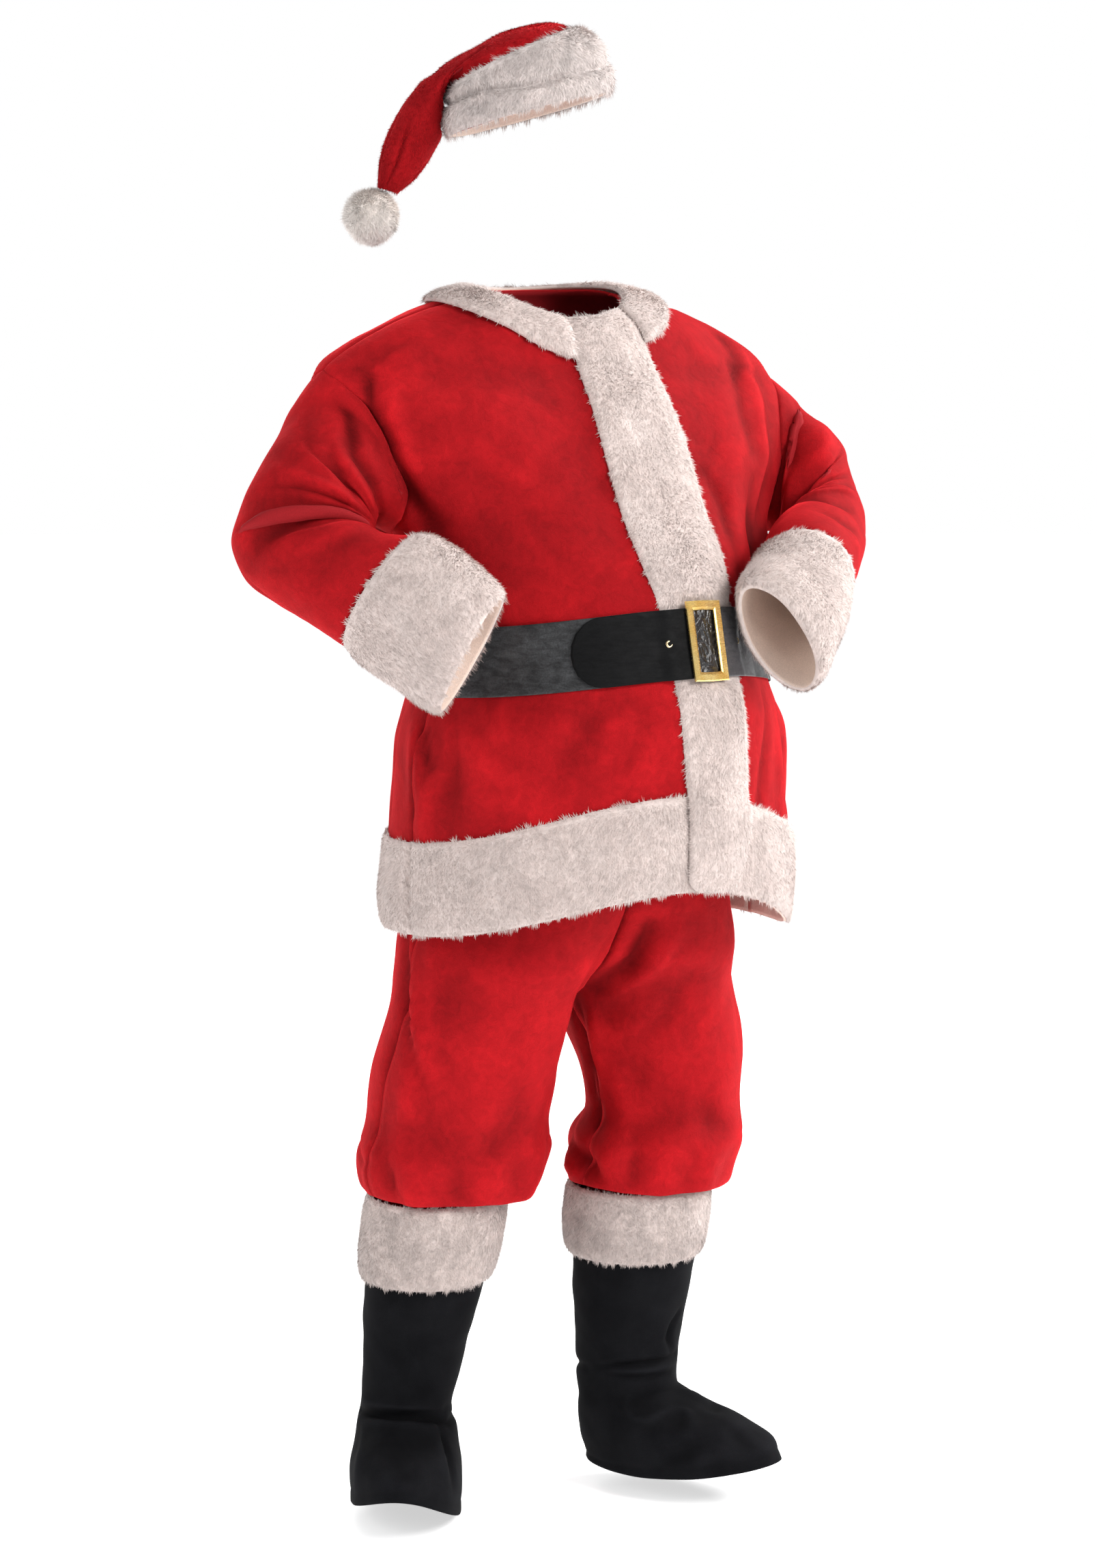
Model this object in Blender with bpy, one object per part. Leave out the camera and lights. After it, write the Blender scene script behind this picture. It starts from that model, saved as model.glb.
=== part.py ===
"""Santa suit: hat, coat with belt, trousers and cloth boot tops, as worn, hollow and open.

Units are metres, +Z is up, the wearer faces -Y and the wearer's left is +X.  The origin is the base
of the neck, where the shoulders carry the coat.  Every cloth panel is a loft through unlike
sections that a table of named columns gives.  Panels that are sewn together share their seam
points, so each wall is mitred there and ends half a seam gap short of the seam line.
"""
import math

import bmesh
import bpy
import numpy as np
from mathutils import Matrix, Vector

# --- walls, gaps and trims -------------------------------------------------------------------
SEAM = 0.0003            # gap between sewn pieces, and between a piece and what it lies on
PULL = 0.95              # share of that gap by which each of two sewn edges is drawn back
PLUSH = 0.0030           # plush of coat, trousers and hat, nap included
FUR = 0.0115             # fur trims: backing and pile
COLLAR_LIFT = 0.0036     # the collar's backing bridges the bend of the shoulders
COLLAR_WIDTHS = np.array([0.062, 0.050, 0.012, 0.0])     # rows of the collar below the neckline
COLLAR_PROFILE = np.array([0.35, 1.0, 1.0, 0.45])        # share of the pile at each row
PRESSED = 0.38           # share of the pile that is left where another piece lies on it
BOOT_CLOTH = 0.0022      # black cloth of the boot tops
BELT_WALL = 0.0020       # vinyl of the belt

# --- front closing of the coat, as distances from the centre front ---------------------------
FRONT_EDGE = 0.020       # edge of the right front, under the band
UNDERLAP = -0.012        # edge of the left front, inside the right front

# --- tongue of the belt, in columns of the coat's grid ------------------------------------------
TONGUE_COLUMNS = 6       # from the buckle to its end
TONGUE_TAPER = 3         # over which its end is rounded
TONGUE_ROUND = 1.105     # how far its corners are drawn back
TONGUE_RISE = 1.6        # over which it climbs onto the strap below

# --- buckle and eyelets ------------------------------------------------------------------------
BUCKLE_WIDTH = 0.054
BUCKLE_HEIGHT = 0.095
BUCKLE_BAR = 0.0085
BUCKLE_THICK = 0.0032
BUCKLE_EDGE = 0.0007     # eased edge of its bars
BUCKLE_SEAT = 0.0013     # how far its back stands off the middle of the bowed strap
EYELET_RADIUS = 0.0042
EYELET_WIRE = 0.0010

RIM_ORDER = Vector((1.0, 1.7, 2.3))     # direction by which the ends of a rim are put in order

# --- colours: red, green, blue, roughness, metallic --------------------------------------------
FINISHES = {
    "red_plush": (0.52, 0.012, 0.018, 0.85, 0.0),
    "white_fur": (0.80, 0.76, 0.72, 0.95, 0.0),
    "black_vinyl": (0.012, 0.012, 0.013, 0.40, 0.0),
    "gold": (0.80, 0.55, 0.16, 0.25, 1.0),
    "black_cloth": (0.008, 0.008, 0.010, 0.80, 0.0),
}


class Table:
    """Rows of numbers under named columns; the first column is the key, in rising order."""

    def __init__(self, columns, rows):
        self.columns = columns
        self.values = np.array(rows, float)
        self.keys = self.values[:, 0]

    def at(self, column, key):
        """The column's value at a key, on a monotone cubic through the rows."""
        values = self.values[:, self.columns.index(column)]
        steps = np.diff(self.keys)
        slopes = np.diff(values) / steps
        tangents = np.zeros(len(values))
        tangents[0], tangents[-1] = slopes[0], slopes[-1]
        for i in range(1, len(values) - 1):
            if slopes[i - 1] * slopes[i] > 0:
                tangents[i] = 2 * slopes[i - 1] * slopes[i] / (slopes[i - 1] + slopes[i])
        key = np.clip(key, self.keys[0], self.keys[-1])
        i = np.clip(np.searchsorted(self.keys, key) - 1, 0, len(steps) - 1)
        s = (key - self.keys[i]) / steps[i]
        start = (1 + 2 * s) * (1 - s) ** 2 * values[i] + s * (1 - s) ** 2 * steps[i] * tangents[i]
        end = s * s * (3 - 2 * s) * values[i + 1] - s * s * (1 - s) * steps[i] * tangents[i + 1]
        return start + end


# --- coat ----------------------------------------------------------------------------------------
# A level of the coat: half width, depth to the front and to the back of centre_y, how far the belly
# lifts its front, how narrow that lifted stretch is and its angle from the centre front, and how
# much the level rises for each metre to the wearer's left.
COAT = Table(
    ("height", "centre_y", "half_width", "front", "back", "lift", "sharp", "peak", "roll"), [
        (-0.786, -0.085, 0.257, 0.225, 0.235, 0.068, 5.0, -3, -0.030),       # hem
        (-0.676, -0.085, 0.257, 0.225, 0.226, 0.071, 5.0, -5, -0.030),       # top of the hem band
        (-0.610, -0.085, 0.252, 0.222, 0.219, 0.059, 4.4, 0, -0.030),
        (-0.555, -0.085, 0.247, 0.219, 0.216, 0.047, 3.9, 5, -0.030),
        (-0.499, -0.083, 0.229, 0.212, 0.205, 0.035, 3.5, 10, -0.030),       # lower edge of the belt
        (-0.458, -0.080, 0.219, 0.205, 0.198, 0.035, 3.5, 10, -0.030),
        (-0.417, -0.078, 0.222, 0.199, 0.197, 0.035, 3.5, 10, -0.030),       # upper edge of the belt
        (-0.360, -0.066, 0.243, 0.180, 0.190, 0.034, 3.5, 5, -0.030),
        (-0.310, -0.052, 0.266, 0.160, 0.180, 0.030, 3.5, 0, -0.030),        # underarm
        (-0.260, -0.040, 0.304, 0.147, 0.172, 0.024, 3.5, 0, -0.024),
        (-0.205, -0.028, 0.340, 0.136, 0.165, 0.016, 3.5, 0, -0.016),
        (-0.150, -0.014, 0.346, 0.126, 0.152, 0.007, 3.5, 0, -0.008),
        (-0.102, 0.000, 0.326, 0.112, 0.134, 0.000, 3.5, 0, 0.000),          # shoulder point
        (-0.052, 0.004, 0.248, 0.098, 0.116, -0.012, 3.5, 0, 0.014),
        (-0.026, 0.006, 0.180, 0.090, 0.102, -0.026, 3.5, 0, 0.018),
        (-0.006, 0.008, 0.098, 0.082, 0.086, -0.042, 3.5, 0, 0.014),         # neckline
    ])
COAT_HEM, HEM_TOP, BELT_LOW, BELT_MID, BELT_HIGH = -0.786, -0.676, -0.499, -0.458, -0.417
UNDERARM, SHOULDER, NECK = -0.310, -0.102, -0.006
# Where a panel ends at the armhole, as an angle from the centre front or centre back.
ARMHOLE = Table(("height", "angle"), [
    (UNDERARM, 90.0), (-0.290, 75.0), (-0.255, 65.0), (-0.205, 61.0), (-0.155, 64.0),
    (-0.120, 74.0), (SHOULDER, 90.0)])
# Edges of the fur band, measured from the centre front towards the wearer's left.
FRONT_BAND = Table(("height", "right", "left"), [
    (COAT_HEM, -0.018, 0.076), (-0.676, -0.018, 0.078), (-0.600, -0.021, 0.080),
    (BELT_LOW, -0.026, 0.078), (BELT_HIGH, -0.034, 0.078), (-0.345, -0.040, 0.092),
    (-0.280, -0.039, 0.092), (-0.150, -0.037, 0.084), (NECK, -0.030, 0.066)])
SIDE_COLUMNS = 8          # quads between side seam and fur band
BACK_COLUMNS = 12
ARMHOLE_ROWS = 9
COAT_HEIGHTS = np.concatenate([
    [COAT_HEM, -0.764, -0.728, -0.692, HEM_TOP, -0.630, -0.585, -0.540, BELT_LOW, BELT_MID,
     BELT_HIGH, -0.382, -0.346],
    np.linspace(UNDERARM, SHOULDER, ARMHOLE_ROWS + 1),
    [-0.076, -0.050, -0.027, NECK]])
# Soft folds: start and end as (angle from centre front, height), width and depth (troughs < 0).
COAT_FOLDS = [
    (-68, -0.070, -62, -0.190, 0.020, -0.008),     # right chest, from the shoulder down
    (-62, -0.190, -66, -0.320, 0.022, -0.010),
    (-80, -0.310, -58, -0.385, 0.024, 0.010),      # pinch under the right sleeve
    (60, -0.090, 52, -0.250, 0.022, -0.009),       # left chest
    (52, -0.250, 44, -0.390, 0.024, -0.009),
    (28, -0.140, 34, -0.330, 0.024, 0.007),        # roll beside the band
    (78, -0.330, 66, -0.420, 0.026, -0.010),       # under the left hand
    (-95, -0.520, -84, -0.660, 0.024, 0.010),      # right side, below the belt
    (-78, -0.520, -72, -0.640, 0.022, -0.007),
    (-30, -0.520, -40, -0.620, 0.024, -0.006),
    (62, -0.520, 70, -0.660, 0.024, 0.009),        # left side, below the belt
    (48, -0.520, 54, -0.620, 0.022, -0.007),
    (120, -0.140, 132, -0.400, 0.028, -0.009),     # back, drawn towards the waist
    (240, -0.140, 228, -0.400, 0.028, -0.009),
    (168, -0.360, 170, -0.430, 0.026, 0.008),
    (196, -0.340, 192, -0.430, 0.024, 0.008),
    (150, -0.520, 140, -0.700, 0.026, 0.009),
    (182, -0.520, 180, -0.700, 0.026, 0.007),
    (214, -0.520, 224, -0.700, 0.026, 0.009),
]
FOLD_RADIUS = 0.235       # radius on which the coat's fold angles are laid out

# --- sleeves: the tube's outer and inner point at each section, seen in the plane of the bend ----
SLEEVE_COLUMNS = ("along", "outer_x", "outer_y", "outer_z", "inner_x", "inner_y", "inner_z", "depth")
SLEEVE_RIGHT = Table(SLEEVE_COLUMNS, [
    (0.000, -0.326, 0.000, -0.096, -0.262, -0.052, -0.305, 0.078),      # armhole
    (0.150, -0.365, 0.011, -0.149, -0.294, -0.068, -0.290, 0.084),
    (0.300, -0.395, 0.018, -0.208, -0.304, -0.082, -0.290, 0.087),
    (0.430, -0.424, 0.020, -0.261, -0.312, -0.094, -0.291, 0.088),
    (0.540, -0.442, 0.017, -0.309, -0.317, -0.102, -0.292, 0.087),      # elbow
    (0.650, -0.438, -0.002, -0.345, -0.321, -0.117, -0.293, 0.083),
    (0.780, -0.418, -0.037, -0.374, -0.324, -0.140, -0.293, 0.078),
    (0.900, -0.388, -0.080, -0.401, -0.324, -0.165, -0.292, 0.071),
    (1.000, -0.360, -0.115, -0.425, -0.317, -0.187, -0.291, 0.066),     # seam of the cuff
    (1.090, -0.334, -0.147, -0.448, -0.292, -0.217, -0.313, 0.062),
    (1.300, -0.289, -0.197, -0.496, -0.246, -0.256, -0.362, 0.056),     # open end
])
SLEEVE_LEFT = Table(SLEEVE_COLUMNS, [
    (0.000, 0.326, 0.000, -0.109, 0.262, -0.052, -0.315, 0.078),
    (0.150, 0.370, -0.020, -0.149, 0.290, -0.080, -0.308, 0.072),
    (0.300, 0.397, -0.048, -0.191, 0.277, -0.112, -0.307, 0.070),
    (0.430, 0.404, -0.079, -0.244, 0.264, -0.127, -0.308, 0.073),
    (0.540, 0.394, -0.119, -0.289, 0.248, -0.143, -0.313, 0.070),
    (0.650, 0.372, -0.162, -0.322, 0.228, -0.166, -0.310, 0.066),
    (0.780, 0.335, -0.205, -0.336, 0.203, -0.185, -0.304, 0.061),
    (0.900, 0.290, -0.252, -0.352, 0.178, -0.210, -0.308, 0.056),
    (1.000, 0.239, -0.295, -0.370, 0.157, -0.241, -0.316, 0.052),
    (1.090, 0.206, -0.310, -0.405, 0.132, -0.266, -0.327, 0.047),
    (1.300, 0.134, -0.348, -0.480, 0.064, -0.318, -0.358, 0.039),
])
SLEEVE_ROWS = np.linspace(0, 1, 15)
CUFF_ROWS = np.array([1.000, 1.055, 1.130, 1.230, 1.285, 1.300])
CUFF_PROFILE = np.array([0.10, 0.70, 1.0, 1.0, 0.80, 0.30])      # share of the pile at each row
# Sleeve folds: start and end as (place along, angle from the outer line), width and depth.
SLEEVE_FOLDS = [
    (0.14, 292, 0.42, 215, 0.018, -0.010),     # creases that run to the crook of the elbow
    (0.22, 285, 0.46, 205, 0.016, 0.006),
    (0.48, 330, 0.50, 215, 0.018, -0.009),
    (0.60, 325, 0.56, 215, 0.018, 0.007),
    (0.70, 320, 0.62, 215, 0.018, -0.008),
    (0.86, 300, 0.74, 210, 0.018, 0.006),
    (0.20, 60, 0.34, 140, 0.020, -0.007),      # the same on the side away from the chest
    (0.46, 30, 0.50, 135, 0.020, -0.007),
    (0.66, 40, 0.60, 140, 0.020, 0.006),
    (0.80, 40, 0.72, 140, 0.020, -0.006),
]
SLEEVE_CLEARANCE = 0.006   # between a sleeve and the side of the coat it hangs against
SLEEVE_RADIUS = 0.085
SLEEVE_LENGTH = 0.42

# --- trousers: a leg's section; above the crotch it is cut off at the centre seam ----------------
LEG_COLUMNS = ("height", "centre_x", "half_width", "centre_y", "front", "back")
WAIST, CROTCH, LEG_TUCK = -0.520, -0.868, -1.155
LEG_RIGHT = Table(LEG_COLUMNS, [
    (LEG_TUCK, 0.153, 0.068, 0.027, 0.066, 0.066),      # hem, tucked into the boot top
    (-1.128, 0.152, 0.070, 0.027, 0.068, 0.068),
    (-1.121, 0.147, 0.090, 0.025, 0.088, 0.088),
    (-1.112, 0.141, 0.107, 0.023, 0.104, 0.102),        # blouses over it
    (-1.080, 0.136, 0.119, 0.020, 0.113, 0.112),
    (-1.030, 0.135, 0.114, 0.012, 0.110, 0.112),
    (-0.980, 0.134, 0.115, -0.002, 0.111, 0.114),
    (-0.930, 0.128, 0.115, -0.018, 0.114, 0.118),
    (CROTCH, 0.117, 0.117, -0.034, 0.119, 0.126),
    (-0.820, 0.100, 0.128, -0.040, 0.133, 0.138),
    (-0.760, 0.073, 0.143, -0.040, 0.144, 0.150),
    (-0.660, 0.030, 0.176, -0.042, 0.152, 0.152),
    (WAIST, 0.000, 0.190, -0.050, 0.150, 0.142),
])
LEG_LEFT = Table(LEG_COLUMNS, [
    (LEG_TUCK, 0.094, 0.068, -0.064, 0.066, 0.066),
    (-1.128, 0.095, 0.070, -0.064, 0.068, 0.068),
    (-1.121, 0.099, 0.089, -0.066, 0.087, 0.085),
    (-1.112, 0.104, 0.102, -0.068, 0.100, 0.096),
    (-1.080, 0.115, 0.106, -0.069, 0.104, 0.102),
    (-1.030, 0.131, 0.097, -0.066, 0.098, 0.098),
    (-0.980, 0.133, 0.103, -0.059, 0.101, 0.106),
    (-0.930, 0.127, 0.112, -0.046, 0.109, 0.115),
    (CROTCH, 0.117, 0.117, -0.034, 0.119, 0.126),
    (-0.820, 0.100, 0.128, -0.040, 0.133, 0.138),
    (-0.760, 0.073, 0.143, -0.040, 0.144, 0.150),
    (-0.660, 0.030, 0.176, -0.042, 0.152, 0.152),
    (WAIST, 0.000, 0.190, -0.050, 0.150, 0.142),
])
LEG_DROOP = {"right": (0.011, 145.0), "left": (0.012, 35.0)}   # how far the blouse hangs, and where
LEG_HEIGHTS = np.array([LEG_TUCK, -1.128, -1.121, -1.112, -1.095, -1.070, -1.040, -1.000, -0.960,
                        -0.915, CROTCH, -0.845, -0.812, -0.750, -0.650, WAIST])
LEG_COLUMNS_COUNT = 10    # quads from outside seam to inside seam
GATHERS = 9               # waves of the gathered hem round a leg
GATHER_DEPTH = 0.0035
# Leg folds: (angle from the outside seam, height) at both ends, width and depth.
LEG_FOLDS = [
    (12, -0.780, 26, -1.060, 0.020, 0.008),
    (150, -0.900, 120, -0.780, 0.022, -0.010),
    (165, -0.930, 150, -1.080, 0.020, 0.007),
    (95, -1.020, 70, -1.090, 0.022, -0.006),
    (200, -0.900, 235, -0.780, 0.022, -0.009),
    (300, -1.000, 330, -1.090, 0.022, -0.007),
    (255, -1.030, 230, -1.095, 0.022, 0.006),
]
LEG_RADIUS = 0.112
WAISTBAND_HEIGHT = 0.036

# --- boot tops: a section measured along and across the foot ------------------------------------
BOOT_COLUMNS = ("height", "forward", "half_length", "half_width", "tilt", "arch")
BOOT = Table(BOOT_COLUMNS, [
    (-1.497, 0.066, 0.134, 0.068, 0.012, 0.014),       # open lower edge, over the shoe
    (-1.475, 0.062, 0.130, 0.070, 0.018, 0.008),
    (-1.455, 0.048, 0.115, 0.069, 0.021, 0.003),
    (-1.435, 0.027, 0.091, 0.065, 0.018, 0.000),
    (-1.415, 0.012, 0.073, 0.061, 0.012, 0.000),
    (-1.400, 0.005, 0.065, 0.0580, 0.006, 0.000),      # crease at the ankle
    (-1.380, 0.002, 0.065, 0.0595, 0.000, 0.000),
    (-1.330, 0.000, 0.068, 0.0650, 0.000, 0.000),
    (-1.250, 0.000, 0.077, 0.0740, 0.000, 0.000),
    (-1.135, 0.000, 0.083, 0.0795, 0.000, 0.000),      # upper edge, under the fur
])
# Each boot top: centre of its upper edge and of its ankle, where the toes point in degrees from
# straight ahead towards the wearer's left, and how its lower edge arches, reaches forward, rises
# and leans to the wearer's left.
BOOT_PLACES = {
    "right": {"top": (-0.153, 0.027), "ankle": (-0.178, 0.060), "toes": -33.0,
              "arch": 1.2, "reach": 0.000, "rise": 0.000, "lean": -0.008},
    "left": {"top": (0.094, -0.064), "ankle": (0.089, -0.042), "toes": 28.0,
             "arch": 0.4, "reach": 0.017, "rise": 0.009, "lean": 0.000},
}
BOOT_TOP, BOOT_HEM, ANKLE = -1.135, -1.497, -1.400
BOOT_ROWS = np.array([BOOT_HEM, -1.475, -1.455, -1.435, -1.415, ANKLE, -1.382, -1.345, -1.300,
                      -1.245, -1.190, BOOT_TOP])
BOOT_AROUND = 16
BOOT_CUFF_TOP = -1.128
BOOT_CUFF_EASE = 0.0007   # how much wider the fur is made than the boot top
BOOT_CUFF_DROP = {"right": 0.106, "left": 0.090}        # how far the fur reaches down the boot top
BOOT_CUFF_SHARES = np.array([1.0, 0.92, 0.69, 0.31, 0.08, 0.0])
BOOT_CUFF_PROFILE = np.array([0.35, 0.9, 1.1, 1.1, 0.9, 0.35])

# --- hat: outer and inner point of each section, in the plane through the falling tail ----------
HAT_CENTRE = (-0.021, 0.015)                     # axis of the head opening
HAT_TAIL = 145.0                                 # where the tail falls, degrees round from +X
HAT_COLUMNS = ("along", "outer_run", "outer_z", "inner_run", "inner_z", "depth")
HAT = Table(HAT_COLUMNS, [
    (0.00, -0.096, 0.232, 0.094, 0.180, 0.088),      # open edge
    (0.12, -0.092, 0.262, 0.092, 0.212, 0.086),
    (0.24, -0.072, 0.296, 0.090, 0.232, 0.082),
    (0.36, -0.028, 0.314, 0.098, 0.246, 0.072),
    (0.48, 0.022, 0.308, 0.105, 0.240, 0.060),
    (0.60, 0.078, 0.280, 0.113, 0.224, 0.048),
    (0.72, 0.130, 0.244, 0.119, 0.197, 0.038),
    (0.84, 0.168, 0.190, 0.127, 0.162, 0.031),
    (0.93, 0.184, 0.144, 0.140, 0.133, 0.025),
    (1.00, 0.186, 0.118, 0.160, 0.111, 0.012),      # gathered end
])
# Share of the pile at each row of the crown that lies under the fur band.
HAT_BAND_PROFILE = np.array([0.40, 0.85, 1.05, 0.95, 0.35])
HAT_ROWS = np.array([0.0, 0.03, 0.14, 0.25, 0.29, 0.35, 0.43, 0.51, 0.59, 0.67, 0.75, 0.83,
                     0.90, 0.96, 1.0])
HAT_AROUND = 18
POMPOM_RADIUS = 0.036
POMPOM_RUN, POMPOM_Z = 0.193, 0.0828


def finish(name):
    """The material of that name, made once."""
    material = bpy.data.materials.get(name)
    if material:
        return material
    red, green, blue, roughness, metallic = FINISHES[name]
    material = bpy.data.materials.new(name)
    material.use_nodes = True
    shader = material.node_tree.nodes["Principled BSDF"]
    shader.inputs["Base Color"].default_value = (red, green, blue, 1.0)
    shader.inputs["Roughness"].default_value = roughness
    shader.inputs["Metallic"].default_value = metallic
    material.diffuse_color = (red, green, blue, 1.0)
    return material


def add(name, mesh, finish_name, collection):
    """Put a mesh into the collection as an object of its own with its own finish."""
    own = finish(finish_name).copy()
    own.name = name + "_" + finish_name
    mesh.materials.append(own)
    thing = bpy.data.objects.new(name, mesh)
    collection.objects.link(thing)
    return thing


def unit(vectors):
    return vectors / np.maximum(np.linalg.norm(vectors, axis=-1, keepdims=True), 1e-12)


def ease(x):
    """0 to 1 with flat ends."""
    x = np.clip(x, 0.0, 1.0)
    return x * x * (3 - 2 * x)


def fold_height(folds, across, along):
    """Sum of soft folds at points of an unrolled surface: a fold is a line with a round section."""
    height = np.zeros(np.broadcast(across, along).shape)
    for a0, b0, a1, b1, width, depth in folds:
        run = np.array([a1 - a0, b1 - b0])
        length = np.hypot(*run)
        share = np.clip(((across - a0) * run[0] + (along - b0) * run[1]) / length ** 2, 0, 1)
        away = np.hypot(across - a0 - share * run[0], along - b0 - share * run[1])
        fade = 0.45 + 0.55 * np.sin(np.pi * share)
        height += depth * fade * np.exp(-(away / width) ** 2)
    return height


def quad_normals(grid, closed):
    """Area-weighted normals of a grid's quads; columns run anticlockwise, rows away from them."""
    if closed:
        grid = np.concatenate([grid, grid[:, :1]], axis=1)
    return np.cross(grid[1:, 1:] - grid[:-1, :-1], grid[1:, :-1] - grid[:-1, 1:])


def seam_normals(grids):
    """Vertex normals of grids that are sewn together; along a seam they halve the fold between them."""
    sums = {}
    keys = {}
    for name, (grid, closed) in grids.items():
        rows, columns = grid.shape[:2]
        marks = np.round(grid * 1e5).astype(int)
        keys[name] = marks
        faces = quad_normals(grid, closed)
        for r in range(rows - 1):
            for c in range(faces.shape[1]):
                for rr, cc in ((r, c), (r + 1, c), (r, (c + 1) % columns), (r + 1, (c + 1) % columns)):
                    own = sums.setdefault(tuple(marks[rr, cc]), {})
                    own[name] = own.get(name, 0) + faces[r, c]
    shared = {key: unit(sum(unit(total) for total in own.values())) for key, own in sums.items()}
    return {name: np.array([[shared[tuple(m)] for m in row] for row in marks])
            for name, marks in keys.items()}


def part_seams(grid, ends=(), sides=()):
    """Draw a grid's edges back by half a seam: ends are rows 0 or -1, sides are columns 0 or -1."""
    grid = grid.copy()
    for row in ends:
        grid[row] += unit(grid[1 if row == 0 else -2] - grid[row]) * SEAM * PULL
    for column in sides:
        grid[:, column] += unit(grid[:, 1 if column == 0 else -2] - grid[:, column]) * SEAM * PULL
    return grid


def rim(builder, near, far):
    """Two triangles between the (inside, outside) points at both ends of a rim's stretch.

    The diagonal depends on where the ends lie, so that two pieces sewn together divide alike.
    """
    if near[1].co.dot(RIM_ORDER) > far[1].co.dot(RIM_ORDER):
        near, far = far, near
    builder.faces.new((near[0], far[0], far[1]))
    builder.faces.new((near[0], far[1], near[1]))


def shell(name, inner, outer, closed, finish_name, collection):
    """A wall lofted between an inner and an outer grid of points, closed along its rims."""
    rows, columns = inner.shape[:2]
    builder = bmesh.new()
    inside = [[builder.verts.new(p) for p in row] for row in inner]
    outside = [[builder.verts.new(p) for p in row] for row in outer]
    last = columns if closed else columns - 1
    for r in range(rows - 1):
        for c in range(last):
            d = (c + 1) % columns
            for near, far in (((r, c), (r, d)), ((r + 1, d), (r + 1, c))):
                third = (r + 1, d) if near == (r, c) else (r, c)
                builder.faces.new([outside[i][j] for i, j in (near, far, third)])
                builder.faces.new([inside[i][j] for i, j in (third, far, near)])
    for r in (0, rows - 1):
        for c in range(last):
            d = (c + 1) % columns
            rim(builder, (inside[r][c], outside[r][c]), (inside[r][d], outside[r][d]))
    if not closed:
        for c in (0, columns - 1):
            for r in range(rows - 1):
                rim(builder, (inside[r][c], outside[r][c]), (inside[r + 1][c], outside[r + 1][c]))
    bmesh.ops.recalc_face_normals(builder, faces=builder.faces)
    mesh = bpy.data.meshes.new(name)
    builder.to_mesh(mesh)
    builder.free()
    mesh.shade_smooth()
    mesh.set_sharp_from_angle(angle=math.radians(50))
    return add(name, mesh, finish_name, collection)


def wall(name, grid, normals, thickness, closed, finish_name, collection, ends=(), sides=(), lift=0.0):
    """A shell whose outer face is the grid, or that stands out from it by lift + thickness."""
    base = part_seams(grid, ends, sides)
    thickness = np.asarray(thickness, float)
    lift = np.asarray(lift, float)
    low = base + normals * np.broadcast_to(lift, grid.shape[:2])[..., None]
    high = base + normals * np.broadcast_to(lift + thickness, grid.shape[:2])[..., None]
    return shell(name, low, high, closed, finish_name, collection)


def sample(grid, row, column):
    """Points of a grid at fractional rows and columns, on the two triangles of each quad."""
    row, column = np.broadcast_arrays(np.asarray(row, float), np.asarray(column, float))
    r = np.clip(np.floor(row).astype(int), 0, grid.shape[0] - 2)
    c = np.clip(np.floor(column).astype(int), 0, grid.shape[1] - 2)
    s, t = (row - r)[..., None], (column - c)[..., None]
    corner, far = grid[r, c], grid[r + 1, c + 1]
    low = corner + t * (grid[r, c + 1] - corner) + s * (far - grid[r, c + 1])
    high = corner + s * (grid[r + 1, c] - corner) + t * (far - grid[r + 1, c])
    return np.where(t >= s, low, high)


# --- coat surface ----------------------------------------------------------------------------------
def coat_point(angle, height):
    """Points of the coat's outer face; the angle, in degrees, runs from the centre front."""
    turn = np.radians(angle)
    depth = np.where(np.cos(turn) > 0, COAT.at("front", height), COAT.at("back", height))
    x = COAT.at("half_width", height) * np.sin(turn)
    y = COAT.at("centre_y", height) - depth * np.cos(turn)
    lifted = (0.5 + 0.5 * np.cos(turn - np.radians(COAT.at("peak", height)))) ** COAT.at("sharp", height)
    z = height + COAT.at("lift", height) * lifted + COAT.at("roll", height) * x
    outward = np.stack([np.sin(turn), -np.cos(turn), 0 * turn], -1)
    folds = np.array(COAT_FOLDS, float)
    folds[:, (0, 2)] = np.radians(folds[:, (0, 2)]) * FOLD_RADIUS
    rise = 0
    for whole_turn in (-360, 0, 360):
        rise = rise + fold_height(folds, np.radians(angle + whole_turn) * FOLD_RADIUS, height)
    rise = rise * (1 - np.exp(-(np.abs(height - BELT_MID) / 0.062) ** 4))
    return np.stack([x, y, z], -1) + outward * rise[..., None]


def angle_at(distance, height):
    """The angle whose point lies that far from the centre front, measured sideways."""
    return np.degrees(np.arcsin(distance / COAT.at("half_width", height)))


def side_angle(height):
    """The angle at which a panel ends: side seam, armhole edge or shoulder seam."""
    inside = (height > UNDERARM + 1e-6) & (height < SHOULDER - 1e-6)
    return np.where(inside, ARMHOLE.at("angle", height), 90.0)


def spread(start, stop, count):
    """Rows of evenly spaced values from start to stop, both arrays."""
    share = np.linspace(0, 1, count + 1)
    return start[:, None] * (1 - share) + stop[:, None] * share


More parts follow.
